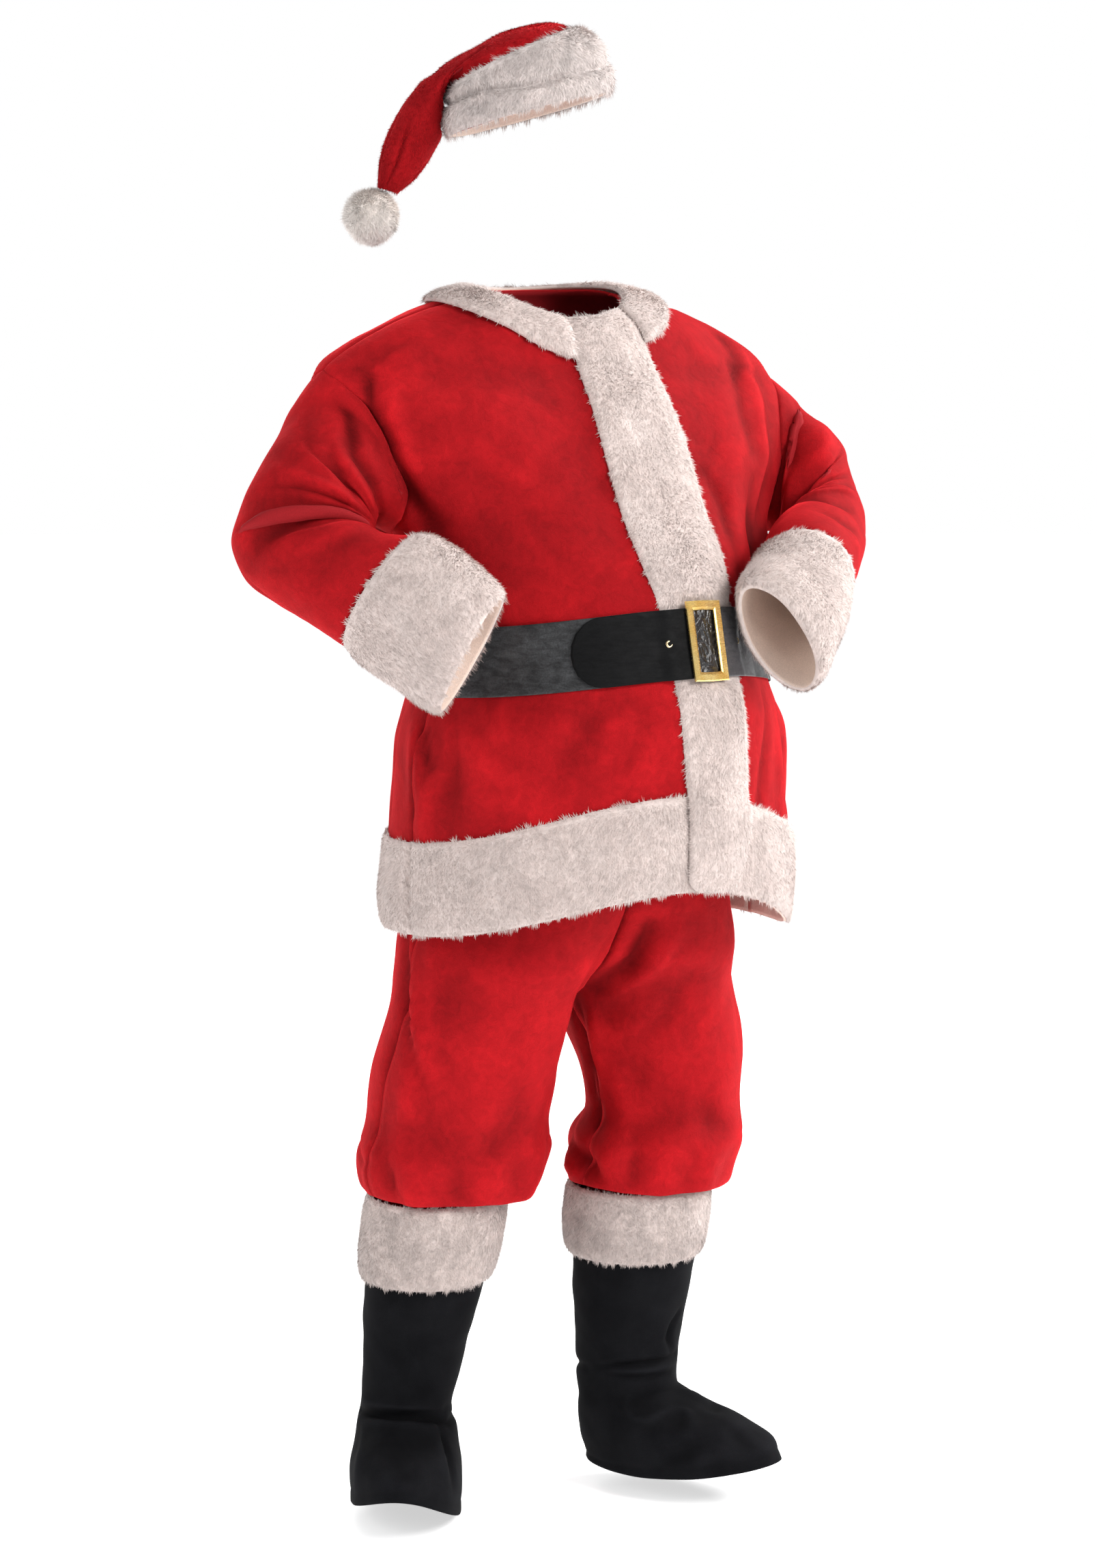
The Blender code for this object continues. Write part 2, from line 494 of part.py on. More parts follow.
def coat_grids():
    """The three body panels as grids of points, columns anticlockwise and rows upwards."""
    heights = COAT_HEIGHTS
    column = heights[:, None]
    side = side_angle(heights)
    band_right = angle_at(FRONT_BAND.at("right", heights), heights)
    edge = angle_at(FRONT_EDGE, heights)
    band_left = angle_at(FRONT_BAND.at("left", heights), heights)
    right = np.concatenate([spread(-side, band_right, SIDE_COLUMNS),
                            spread(band_right, edge, 2)[:, 1:]], axis=1)
    left = np.concatenate([spread(edge, band_left, 2), spread(band_left, side, SIDE_COLUMNS)[:, 1:]],
                          axis=1)
    back = spread(side * -1 + 180, side + 180, BACK_COLUMNS)
    grids = {"coat_front_right": coat_point(right, column), "coat_front_left": coat_point(left, column),
             "coat_back": coat_point(back, column)}
    # The back's edges are the fronts' own side points, so both meet in one seam line.
    seam = (heights <= UNDERARM + 1e-6) | (heights >= SHOULDER - 1e-6)
    grids["coat_back"][seam, 0] = grids["coat_front_left"][seam, -1]
    grids["coat_back"][seam, -1] = grids["coat_front_right"][seam, 0]
    return grids


def armhole_loop(grids, side):
    """The armhole's points from the shoulder, down one edge, past the underarm and up the other."""
    low = int(np.argmin(abs(COAT_HEIGHTS - UNDERARM)))
    high = int(np.argmin(abs(COAT_HEIGHTS - SHOULDER)))
    front = grids["coat_front_" + side][low:high + 1, 0 if side == "right" else -1]
    back = grids["coat_back"][low:high + 1, -1 if side == "right" else 0]
    down, up = (back, front) if side == "right" else (front, back)
    return np.concatenate([down[::-1], up[1:-1]])


def sleeve_grid(table, loop, places):
    """Sections of a bent tube that starts in the armhole's loop."""
    around = len(loop)
    outer = np.stack([table.at("outer_" + axis, places) for axis in "xyz"], -1)
    inner = np.stack([table.at("inner_" + axis, places) for axis in "xyz"], -1)
    centre = (outer + inner) / 2
    tangent = unit(np.gradient(centre, places, axis=0))
    half = (outer - inner) / 2
    across = unit(np.cross(tangent, half)) * table.at("depth", places)[:, None]
    turn = np.arange(around) * 2 * np.pi / around
    tube = (centre[:, None] + half[:, None] * np.cos(turn)[None, :, None]
            + across[:, None] * np.sin(turn)[None, :, None])
    folds = np.array(SLEEVE_FOLDS, float)
    folds[:, (0, 2)] *= SLEEVE_LENGTH
    folds[:, (1, 3)] = np.radians(folds[:, (1, 3)]) * SLEEVE_RADIUS
    swapped = folds[:, (1, 0, 3, 2, 4, 5)]
    rise = fold_height(swapped, turn[None, :] * SLEEVE_RADIUS, places[:, None] * SLEEVE_LENGTH)
    rise = rise * (ease(places / 0.20) * ease((1.02 - places) / 0.10))[:, None]
    tube = tube + unit(tube - centre[:, None]) * rise[..., None]
    fade = (1 - ease(places / 0.30))[:, None, None]
    return clear_of_coat(tube + (loop - tube[0])[None] * fade, SLEEVE_CLEARANCE * ease(places / 0.12))


def clear_of_coat(tube, margin):
    """Push points of a sleeve that would lie in the coat out of its section, to a margin."""
    height = tube[..., 2] - COAT.at("roll", tube[..., 2]) * tube[..., 0]
    wide, middle = COAT.at("half_width", height), COAT.at("centre_y", height)
    forward = middle - tube[..., 1]
    deep = np.where(forward > 0, COAT.at("front", height), COAT.at("back", height))
    reach = np.hypot(tube[..., 0] / wide, forward / deep)
    push = np.maximum((1 + margin[:, None] / wide) / np.maximum(reach, 0.05), 1.0)
    push[0] = 1.0
    return np.stack([tube[..., 0] * push, middle - forward * push, tube[..., 2]], -1)


# --- coat ------------------------------------------------------------------------------------------
def band_profile(grids_rows):
    """Share of the pile at each row and column of the fur band down the front."""
    across = np.array([0.35, 0.95, 1.05, 0.95, 0.35])
    share = np.tile(across, (grids_rows, 1))
    belt = (COAT_HEIGHTS[:grids_rows] >= BELT_LOW - 1e-6) & (COAT_HEIGHTS[:grids_rows] <= BELT_HIGH + 1e-6)
    share[belt] *= PRESSED
    share[0] *= 0.4
    return share


def build_coat(collection):
    grids = coat_grids()
    loops = {side: armhole_loop(grids, side) for side in ("right", "left")}
    tables = {"right": SLEEVE_RIGHT, "left": SLEEVE_LEFT}
    sewn = {name: (grid, False) for name, grid in grids.items()}
    for side, loop in loops.items():
        sleeve = sleeve_grid(tables[side], loop, np.concatenate([SLEEVE_ROWS, CUFF_ROWS[1:]]))
        grids["sleeve_" + side] = sleeve[:len(SLEEVE_ROWS)]
        grids["cuff_" + side] = sleeve[len(SLEEVE_ROWS) - 1:]
        sewn["sleeve_" + side] = (grids["sleeve_" + side], True)
        sewn["cuff_" + side] = (grids["cuff_" + side], True)
    normals = seam_normals(sewn)

    for name in ("coat_front_right", "coat_back"):
        sides = (0,) if name == "coat_front_right" else (0, -1)
        wall(name, grids[name], -normals[name], PLUSH, False, "red_plush", collection, sides=sides)
    build_left_front(grids, normals, collection)
    for side in ("right", "left"):
        sleeve, cuff = "sleeve_" + side, "cuff_" + side
        wall(sleeve, grids[sleeve], -normals[sleeve], PLUSH, True, "red_plush", collection, ends=(0, -1))
        wall(cuff, grids[cuff], normals[cuff], (CUFF_PROFILE * FUR + PLUSH)[:, None], True, "white_fur",
             collection, ends=(0,), lift=-PLUSH)
    build_hem_bands(grids, normals, collection)
    build_front_band(grids, normals, collection)
    build_collar(grids, normals, collection)
    build_belt(grids, normals, collection)


def build_left_front(grids, normals, collection):
    """The left front carries on under the right front, drawn in by the wall that covers it."""
    grid, normal = grids["coat_front_left"], normals["coat_front_left"]
    under = [coat_point(angle_at(x, COAT_HEIGHTS), COAT_HEIGHTS) for x in (UNDERLAP, 0.004)]
    base = np.concatenate([np.stack(under, 1), grid], axis=1)
    facing = np.concatenate([normal[:, :1], normal[:, :1], normal], axis=1)
    facing[:, :2] = normals["coat_front_right"][:, -3:-1]
    drop = np.zeros(base.shape[1])
    drop[:3] = PLUSH + 2 * SEAM
    lowered = base - facing * drop[None, :, None]
    wall("coat_front_left", lowered, -facing, PLUSH, False, "red_plush", collection, sides=(-1,))


def build_hem_bands(grids, normals, collection):
    """Fur round the hem in three pieces, seamed at the sides; the front band covers its ends."""
    rows = int(np.argmin(abs(COAT_HEIGHTS - HEM_TOP))) + 1
    profile = np.array([0.45, 0.95, 1.08, 0.95, 0.40])[:, None]
    spans = {"hem_band_right": ("coat_front_right", slice(None), (0,)),
             "hem_band_back": ("coat_back", slice(None), (0, -1)),
             "hem_band_left": ("coat_front_left", slice(1, None), (-1,))}
    for name, (panel, columns, sides) in spans.items():
        grid = grids[panel][:rows, columns]
        share = np.ones(grid.shape[1])
        if name == "hem_band_right":
            share[-3:] = PRESSED
        if name == "hem_band_left":
            share[:2] = PRESSED
        wall(name, grid, normals[panel][:rows, columns], profile * share * FUR, False, "white_fur",
             collection, sides=sides, lift=SEAM)


def front_band_base(grids, normals):
    """The grid under the front band: the last columns of the right front, the first of the left."""
    grid = np.concatenate([grids["coat_front_right"][:, -3:], grids["coat_front_left"][:, 1:3]], axis=1)
    facing = np.concatenate([normals["coat_front_right"][:, -3:], normals["coat_front_left"][:, 1:3]],
                            axis=1)
    return grid, facing


def build_front_band(grids, normals, collection):
    """The fur band down the front, over the hem band, with its free lower corner rounded."""
    grid, facing = front_band_base(grids, normals)
    rows = grid.shape[0]
    share = band_profile(rows)
    rows_on_hem = int(np.argmin(abs(COAT_HEIGHTS - HEM_TOP)))
    lift = np.full(rows, SEAM)
    lift[:rows_on_hem + 1] = 2 * SEAM + FUR * PRESSED * 1.08
    place = np.repeat(np.arange(rows, dtype=float)[:, None], 5, axis=1)
    place[:2, 4] += (1.10, 0.55)
    place[:2, 3] += (0.30, 0.15)
    place[0, 0] += 0.12
    column = np.tile(np.arange(5.0), (rows, 1))
    points, outward = sample(grid, place, column), unit(sample(facing, place, column))
    wall("front_band", points, outward, share * FUR, False, "white_fur", collection,
         lift=lift[:, None])


def build_collar(grids, normals, collection):
    """A narrow fur collar round the neckline, from one edge of the front band to the other."""
    left = (grids["coat_front_left"][:, 2:], normals["coat_front_left"][:, 2:])
    back = (grids["coat_back"], normals["coat_back"])
    right = (grids["coat_front_right"][:, :-2], normals["coat_front_right"][:, :-2])
    grid = np.concatenate([left[0], back[0][:, 1:], right[0][:, 1:]], axis=1)[-6:]
    facing = np.concatenate([left[1], back[1][:, 1:], right[1][:, 1:]], axis=1)[-6:]
    reach = np.concatenate([np.zeros((1, grid.shape[1])),
                            np.cumsum(np.linalg.norm(np.diff(grid[::-1], axis=0), axis=-1), axis=0)])
    row = np.array([[np.interp(w, reach[:, c], np.arange(len(reach))) for c in range(grid.shape[1])]
                    for w in COLLAR_WIDTHS])
    row = len(reach) - 1 - row
    column = np.tile(np.arange(grid.shape[1], dtype=float), (len(COLLAR_WIDTHS), 1))
    points = part_seams(sample(grid, row, column), sides=(0, -1))
    outward = unit(sample(facing, row, column))
    wall("collar", points, outward, COLLAR_PROFILE[:, None] * FUR, False, "white_fur", collection,
         sides=(0, -1), lift=COLLAR_LIFT)


# --- belt ------------------------------------------------------------------------------------------
def build_belt(grids, normals, collection):
    """One strap: from the buckle round by the wearer's right, and its tongue laid over its start."""
    low = int(np.argmin(abs(COAT_HEIGHTS - BELT_LOW)))
    rows = slice(low, low + 3)
    right, left, back = (grids["coat_" + n][rows] for n in ("front_right", "front_left", "back"))
    right_n, left_n, back_n = (normals["coat_" + n][rows] for n in ("front_right", "front_left", "back"))
    ring = np.concatenate([right, left[:, 1:], back[:, 1:], right[:, 1:]], axis=1)
    ring_n = np.concatenate([right_n, left_n[:, 1:], back_n[:, 1:], right_n[:, 1:]], axis=1)
    pile = band_profile(len(COAT_HEIGHTS))[rows] * FUR
    bump = np.zeros(ring.shape[:2])
    first = right.shape[1] - 3
    bump[:, first:first + 5] = pile + SEAM
    bump[:, -3:] = pile[:, :3] + SEAM
    # The strap starts one column inside the band's right edge and runs clockwise to the ring's start.
    start = ring.shape[1] - 1
    stop = right.shape[1] - TONGUE_COLUMNS
    columns = np.arange(start, stop - 1, -1, dtype=float)
    lines = np.linspace(0, 2, 5)
    place = np.tile(columns, (5, 1))
    reach = TONGUE_ROUND * (1 - np.sqrt(np.maximum(0.0, 1 - (lines - 1) ** 2)))
    taper = ease((stop + TONGUE_TAPER - columns) / TONGUE_TAPER)
    place = place + reach[:, None] * taper[None, :]
    line = np.tile(lines[:, None], (1, len(columns)))
    points, outward = sample(ring, line, place), unit(sample(ring_n, line, place))
    rise = sample(bump[..., None], line, place)[..., 0]
    turn_end = right.shape[1] + 1.0
    over = ease((turn_end - place) / TONGUE_RISE)
    lift = 2 * SEAM + rise + over * (BELT_WALL + 2 * SEAM)
    wall("belt", points[:, ::-1], outward[:, ::-1], BELT_WALL, False, "black_vinyl", collection,
         lift=lift[:, ::-1])
    top = points + outward * (lift + BELT_WALL)[..., None]
    column = int(np.argmin(abs(columns - (right.shape[1] - 1))))
    build_buckle(top[:, column], outward[2, column], top[2, column - 1] - top[2, column + 1], collection)
    build_eyelets(top, outward, column, collection)


def placed(centre, across, facing):
    """A frame whose x runs across, whose z faces out of the surface."""
    facing = Vector(facing).normalized()
    across = Vector(across)
    across = (across - facing * across.dot(facing)).normalized()
    up = facing.cross(across)
    matrix = Matrix((across, up, facing)).transposed().to_4x4()
    matrix.translation = Vector(centre)
    return matrix


def build_buckle(line, facing, across, collection):
    """A flat rectangular frame with eased edges, seated on the belt."""
    curve = bpy.data.curves.new("buckle", "CURVE")
    curve.dimensions = "2D"
    curve.fill_mode = "BOTH"
    curve.extrude = BUCKLE_THICK / 2 - BUCKLE_EDGE
    curve.bevel_depth = BUCKLE_EDGE
    curve.bevel_resolution = 0
    for inset in (BUCKLE_EDGE, BUCKLE_BAR - BUCKLE_EDGE):
        spline = curve.splines.new("POLY")
        spline.points.add(3)
        half_w, half_h = BUCKLE_WIDTH / 2 - inset, BUCKLE_HEIGHT / 2 - inset
        for point, (x, y) in zip(spline.points, ((-1, -1), (1, -1), (1, 1), (-1, 1))):
            point.co = (x * half_w, y * half_h, 0, 1)
        spline.use_cyclic_u = True
    normal = Vector(facing).normalized()
    up = Vector(line[-1] - line[0])
    side = Vector(across)
    face = side.cross(up).normalized()
    if face.dot(normal) < 0:
        face.negate()
    centre = Vector(line[2]) + face * (BUCKLE_THICK / 2 + BUCKLE_SEAT)
    thing = bpy.data.objects.new("buckle", curve)
    curve.materials.append(finish("gold").copy())
    thing.matrix_world = placed(centre, side, face)
    collection.objects.link(thing)


def build_eyelets(top, outward, column, collection):
    """Brass eyelets on the tongue and beside the buckle."""
    spots = {"eyelet_tongue": column + 2, "eyelet_side": column - 2}
    for name, spot in spots.items():
        bpy.ops.mesh.primitive_torus_add(major_segments=12, minor_segments=6, major_radius=EYELET_RADIUS,
                                         minor_radius=EYELET_WIRE)
        thing = bpy.context.object
        thing.name = name
        thing.data.name = name
        centre = top[2, spot] + outward[2, spot] * (EYELET_WIRE + 2 * SEAM)
        thing.matrix_world = placed(centre, top[2, spot - 1] - top[2, spot + 1], outward[2, spot])
        thing.data.materials.append(finish("gold").copy())
        thing.data.shade_smooth()
        for other in list(thing.users_collection):
            other.objects.unlink(thing)
        collection.objects.link(thing)


# --- trousers --------------------------------------------------------------------------------------
def leg_point(table, side, angle, height):
    """Points of one leg; the angle runs from the outside seam over the front to the inside seam."""
    turn = np.radians(angle)
    depth = np.where(np.sin(turn) > 0, table.at("front", height), table.at("back", height))
    out = table.at("centre_x", height) + table.at("half_width", height) * np.cos(turn)
    y = table.at("centre_y", height) - depth * np.sin(turn)
    folds = np.array(LEG_FOLDS, float)
    folds[:, (0, 2)] = np.radians(folds[:, (0, 2)]) * LEG_RADIUS
    rise = fold_height(folds, turn * LEG_RADIUS, height)
    rise = rise + fold_height(folds, (turn - 2 * np.pi) * LEG_RADIUS, height)
    gathered = np.exp(-((height + 1.085) / 0.030) ** 2) + 0.5 * (height < -1.12)
    rise = rise + GATHER_DEPTH * np.cos(GATHERS * turn) * np.minimum(gathered, 1.0)
    rise = rise * ease((-0.52 - height) / 0.20) * np.where(height > CROTCH, ease(out / 0.05), 1.0)
    out = out + rise * np.cos(turn)
    y = y - rise * np.sin(turn)
    sign = -1 if side == "right" else 1
    droop, lowest = LEG_DROOP[side]
    hang = droop * np.exp(-((height + 1.105) / 0.014) ** 2) * np.cos((turn - np.radians(lowest)) / 2) ** 4
    return np.stack([sign * out, y, height - hang], -1)


def inside_angle(table, height):
    """Where a leg's section meets the centre seam, or 180 below the crotch."""
    share = np.clip(table.at("centre_x", height) / table.at("half_width", height), -1, 1)
    meets = np.degrees(np.arccos(-share))
    return np.where(height < CROTCH - 1e-6, 180.0, meets)


def build_trousers(collection):
    heights = LEG_HEIGHTS
    grids = {}
    for side, table in (("right", LEG_RIGHT), ("left", LEG_LEFT)):
        inner = inside_angle(table, heights)
        outer = np.zeros(len(heights))
        front = leg_point(table, side, spread(outer, inner, LEG_COLUMNS_COUNT), heights[:, None])
        back = leg_point(table, side, spread(outer + 360, 360 - inner, LEG_COLUMNS_COUNT),
                         heights[:, None])
        back[:, 0] = front[:, 0]
        below = heights <= CROTCH + 1e-6
        back[below, -1] = front[below, -1]
        above = heights >= CROTCH - 1e-6
        front[above, -1, 0] = 0.0
        back[above, -1, 0] = 0.0
        if side == "left":
            front, back = front[:, ::-1], back
        else:
            back = back[:, ::-1]
        grids["trousers_%s_front" % side] = front
        grids["trousers_%s_back" % side] = back
    normals = seam_normals({name: (grid, False) for name, grid in grids.items()})
    for name, grid in grids.items():
        apart = grid.copy()
        sign = -1 if "right" in name else 1
        apart[..., 0] = sign * np.maximum(sign * grid[..., 0], SEAM * PULL)
        wall(name, apart, -normals[name], PLUSH, False, "red_plush", collection, ends=(-1,), sides=(0, -1))
    build_waistband(grids, collection)


def build_waistband(grids, collection):
    """A plain band above the four leg pieces."""
    order = ("trousers_right_front", "trousers_left_front", "trousers_left_back", "trousers_right_back")
    ring = np.concatenate([grids[name][-1, :-1] for name in order])
    levels = np.array([0.0, 1.0]) * WAISTBAND_HEIGHT
    grid = ring[None] + np.array([0, 0, 1.0]) * levels[:, None, None]
    normals = seam_normals({"waistband": (grid, True)})["waistband"]
    wall("trousers_waistband", grid, -normals, PLUSH, True, "red_plush", collection, ends=(0,))


# --- boot tops -------------------------------------------------------------------------------------
def boot_grid(side, heights, grow=0.0):
    """Sections of a boot top, its shaft leaning from the knee to the ankle, the foot turned out."""
    place = BOOT_PLACES[side]
    share = np.clip((BOOT_TOP - heights) / (BOOT_TOP - ANKLE), 0, 1)[:, None]
    foot = ease((ANKLE - heights) / (ANKLE - BOOT_HEM))[:, None]
    centre = np.array(place["top"]) * (1 - share) + np.array(place["ankle"]) * share
    yaw = math.radians(place["toes"])
    forward = np.array([math.sin(yaw), -math.cos(yaw)])
    left = np.array([math.cos(yaw), math.sin(yaw)])
    turn = np.arange(BOOT_AROUND) * 2 * np.pi / BOOT_AROUND
    length = (BOOT.at("half_length", heights) + grow)[:, None]
    width = (BOOT.at("half_width", heights) + grow)[:, None]
    run = BOOT.at("forward", heights)[:, None] + place["reach"] * foot + length * np.cos(turn)
    flat = centre[:, None] + run[..., None] * forward + (width * np.sin(turn))[..., None] * left
    z = (heights[:, None] + BOOT.at("tilt", heights)[:, None] * np.cos(turn)
         + place["arch"] * BOOT.at("arch", heights)[:, None] * np.cos(2 * turn)
         + foot * (place["rise"] + place["lean"] * np.sin(turn)))
    return np.concatenate([flat, z[..., None]], -1)


def build_boots(collection):
    for side in ("right", "left"):
        grid = boot_grid(side, BOOT_ROWS)
        normals = seam_normals({"boot": (grid, True)})["boot"]
        wall("boot_top_" + side, grid, -normals, BOOT_CLOTH, True, "black_cloth", collection)
        cuff = boot_grid(side, BOOT_CUFF_TOP - BOOT_CUFF_SHARES * BOOT_CUFF_DROP[side], BOOT_CUFF_EASE)
        normals = seam_normals({"cuff": (cuff, True)})["cuff"]
        wall("boot_cuff_" + side, cuff, normals, (BOOT_CUFF_PROFILE * FUR)[:, None], True, "white_fur",
             collection)


# --- hat -------------------------------------------------------------------------------------------
def hat_grid(places):
    """Sections of the crown, which shrinks and falls over to the wearer's right and back."""
    fall = math.radians(HAT_TAIL)
    run_way = np.array([math.cos(fall), math.sin(fall), 0.0])
    base = np.array([HAT_CENTRE[0], HAT_CENTRE[1], 0.0])
    up = np.array([0.0, 0.0, 1.0])
    outer = base + HAT.at("outer_run", places)[:, None] * run_way + HAT.at("outer_z", places)[:, None] * up
    inner = base + HAT.at("inner_run", places)[:, None] * run_way + HAT.at("inner_z", places)[:, None] * up
    centre = (outer + inner) / 2
    half = (outer - inner) / 2
    away = np.cross(up, run_way)
    turn = np.arange(HAT_AROUND) * 2 * np.pi / HAT_AROUND
    depth = HAT.at("depth", places)[:, None]
    return (centre[:, None] + half[:, None] * np.cos(turn)[None, :, None]
            - away * (depth * np.sin(turn))[..., None])


def build_hat(collection):
    grid = hat_grid(HAT_ROWS)
    normals = seam_normals({"crown": (grid, True)})["crown"]
    wall("hat_crown", grid, -normals, PLUSH, True, "red_plush", collection)
    rows = len(HAT_BAND_PROFILE)
    wall("hat_band", grid[:rows], normals[:rows], HAT_BAND_PROFILE[:, None] * FUR, True,
         "white_fur", collection, lift=SEAM)
    fall = math.radians(HAT_TAIL)
    bpy.ops.mesh.primitive_uv_sphere_add(segments=16, ring_count=10, radius=POMPOM_RADIUS, location=(
        HAT_CENTRE[0] + POMPOM_RUN * math.cos(fall), HAT_CENTRE[1] + POMPOM_RUN * math.sin(fall), POMPOM_Z))
    pompom = bpy.context.object
    pompom.name = "hat_pompom"
    pompom.data.name = "hat_pompom"
    pompom.data.materials.append(finish("white_fur").copy())
    pompom.data.shade_smooth()
    for other in list(pompom.users_collection):
        other.objects.unlink(pompom)
    collection.objects.link(pompom)


def main():
    for thing in list(bpy.data.objects):
        bpy.data.objects.remove(thing)
    collection = bpy.data.collections.new("santa_suit")
    bpy.context.scene.collection.children.link(collection)
    build_coat(collection)
    build_trousers(collection)
    build_boots(collection)
    build_hat(collection)


main()
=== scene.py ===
"""Looks of the santa suit: plush, fur, vinyl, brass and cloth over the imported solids.

Every visible piece is the same surface as its solid, drawn finer: folds, gathers, seams and pile.
"""
import math

import bpy
import numpy as np
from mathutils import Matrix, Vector


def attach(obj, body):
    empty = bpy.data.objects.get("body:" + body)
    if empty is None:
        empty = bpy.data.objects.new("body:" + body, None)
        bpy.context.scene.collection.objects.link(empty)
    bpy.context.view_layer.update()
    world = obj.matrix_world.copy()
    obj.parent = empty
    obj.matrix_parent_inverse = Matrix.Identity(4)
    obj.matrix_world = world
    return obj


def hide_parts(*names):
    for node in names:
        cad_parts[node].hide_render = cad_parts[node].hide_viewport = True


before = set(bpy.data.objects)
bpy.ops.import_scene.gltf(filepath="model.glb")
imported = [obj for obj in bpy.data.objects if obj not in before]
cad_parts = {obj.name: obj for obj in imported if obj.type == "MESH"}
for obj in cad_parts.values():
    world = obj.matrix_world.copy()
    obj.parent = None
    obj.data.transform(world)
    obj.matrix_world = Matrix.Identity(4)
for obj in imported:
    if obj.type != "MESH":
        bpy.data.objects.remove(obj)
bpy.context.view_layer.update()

# --- camera ---
camera = bpy.data.objects.new("camera", bpy.data.cameras.new("camera"))
bpy.context.scene.collection.objects.link(camera)
camera.location = (-2.524, -3.604, -0.08)
camera.rotation_euler = (math.radians(83.0), 0.0, math.radians(-35.0))
camera.data.lens = 81.16
camera.data.sensor_width = 36.0
camera.data.clip_end = 60
bpy.context.scene.camera = camera
bpy.context.scene.view_settings.view_transform = "Standard"

# --- sizes shared with the solids ---
SEAM = 0.0003             # gap between sewn pieces, and between a piece and what it lies on
PLUSH = 0.0030            # thickness of the plush, nap included
SEAM_WIDTH, SEAM_DEPTH = 0.0036, 0.0014          # of the valley along a seam
FUR = 0.0115              # depth of the fur trims, backing and pile
UNDERPILE = 0.84          # share of that depth that is too dense to see into
FUR_DENSITY, PLUSH_DENSITY, POMPOM_DENSITY = 700000, 420000, 1500000    # hairs a square metre
HAIR, THICK_HAIR = 0.0009, 0.0010                # width of one
EDGE_REACH = 0.0065       # how far from an edge the hairs lean off it
PRESSED = 0.38            # share of the pile that is left where another piece lies on it
COLLAR_LIFT, COLLAR_WIDTH = 0.0036, 0.062
COLLAR_REACH = 28         # rows of the coat, from the neckline, among which the collar lies
BOOT_CLOTH = 0.0022
BELT_WALL = 0.0020
BELT_RADIUS = 0.215       # on which the belt's length is laid out
TIP_RADIUS = 0.0405       # of the tongue's end
BUCKLE_BOW = 0.0006       # how much the buckle's long sides bow out
FRONT_EDGE = 0.020        # edge of the right front, from the centre front
UNDERLAP = -0.012         # edge of the left front, inside the right front
HEM_SAG = 0.010           # how much the left front's hem sags
BLOUSE_SAG = 0.010        # and the trousers' gathered hems
SIDE_BULGE = 0.020        # how far the coat's side stands out under a hanging sleeve
HEM_TURN, CROWN_TURN = 9, 20                     # rows of the fur's back on the inside of a hem
DOWN = (0, 0, -1)
UP = np.array([0.0, 0.0, 1.0])
SIDES = ("right", "left")
# Edges of a grid: the axis across them, and which end of it.
BOTTOM, TOP, START, END = (0, 0), (0, -1), (1, 0), (1, -1)


class Table:
    """Rows of numbers under named columns; the first column is the key, in rising order."""

    def __init__(self, columns, rows):
        self.columns = columns
        self.values = np.array(rows, float)
        self.keys = self.values[:, 0]

    def at(self, column, key):
        """The column's value at a key, on a monotone cubic through the rows."""
        values = self.values[:, self.columns.index(column)]
        gaps = np.diff(self.keys)
        slopes = np.diff(values) / gaps
        tangents = np.zeros(len(values))
        tangents[0], tangents[-1] = slopes[0], slopes[-1]
        for i in range(1, len(values) - 1):
            if slopes[i - 1] * slopes[i] > 0:
                tangents[i] = 2 * slopes[i - 1] * slopes[i] / (slopes[i - 1] + slopes[i])
        key = np.clip(key, self.keys[0], self.keys[-1])
        i = np.clip(np.searchsorted(self.keys, key) - 1, 0, len(gaps) - 1)
        s = (key - self.keys[i]) / gaps[i]
        start = (1 + 2 * s) * (1 - s) ** 2 * values[i] + s * (1 - s) ** 2 * gaps[i] * tangents[i]
        end = s * s * (3 - 2 * s) * values[i + 1] - s * s * (1 - s) * gaps[i] * tangents[i + 1]
        return start + end

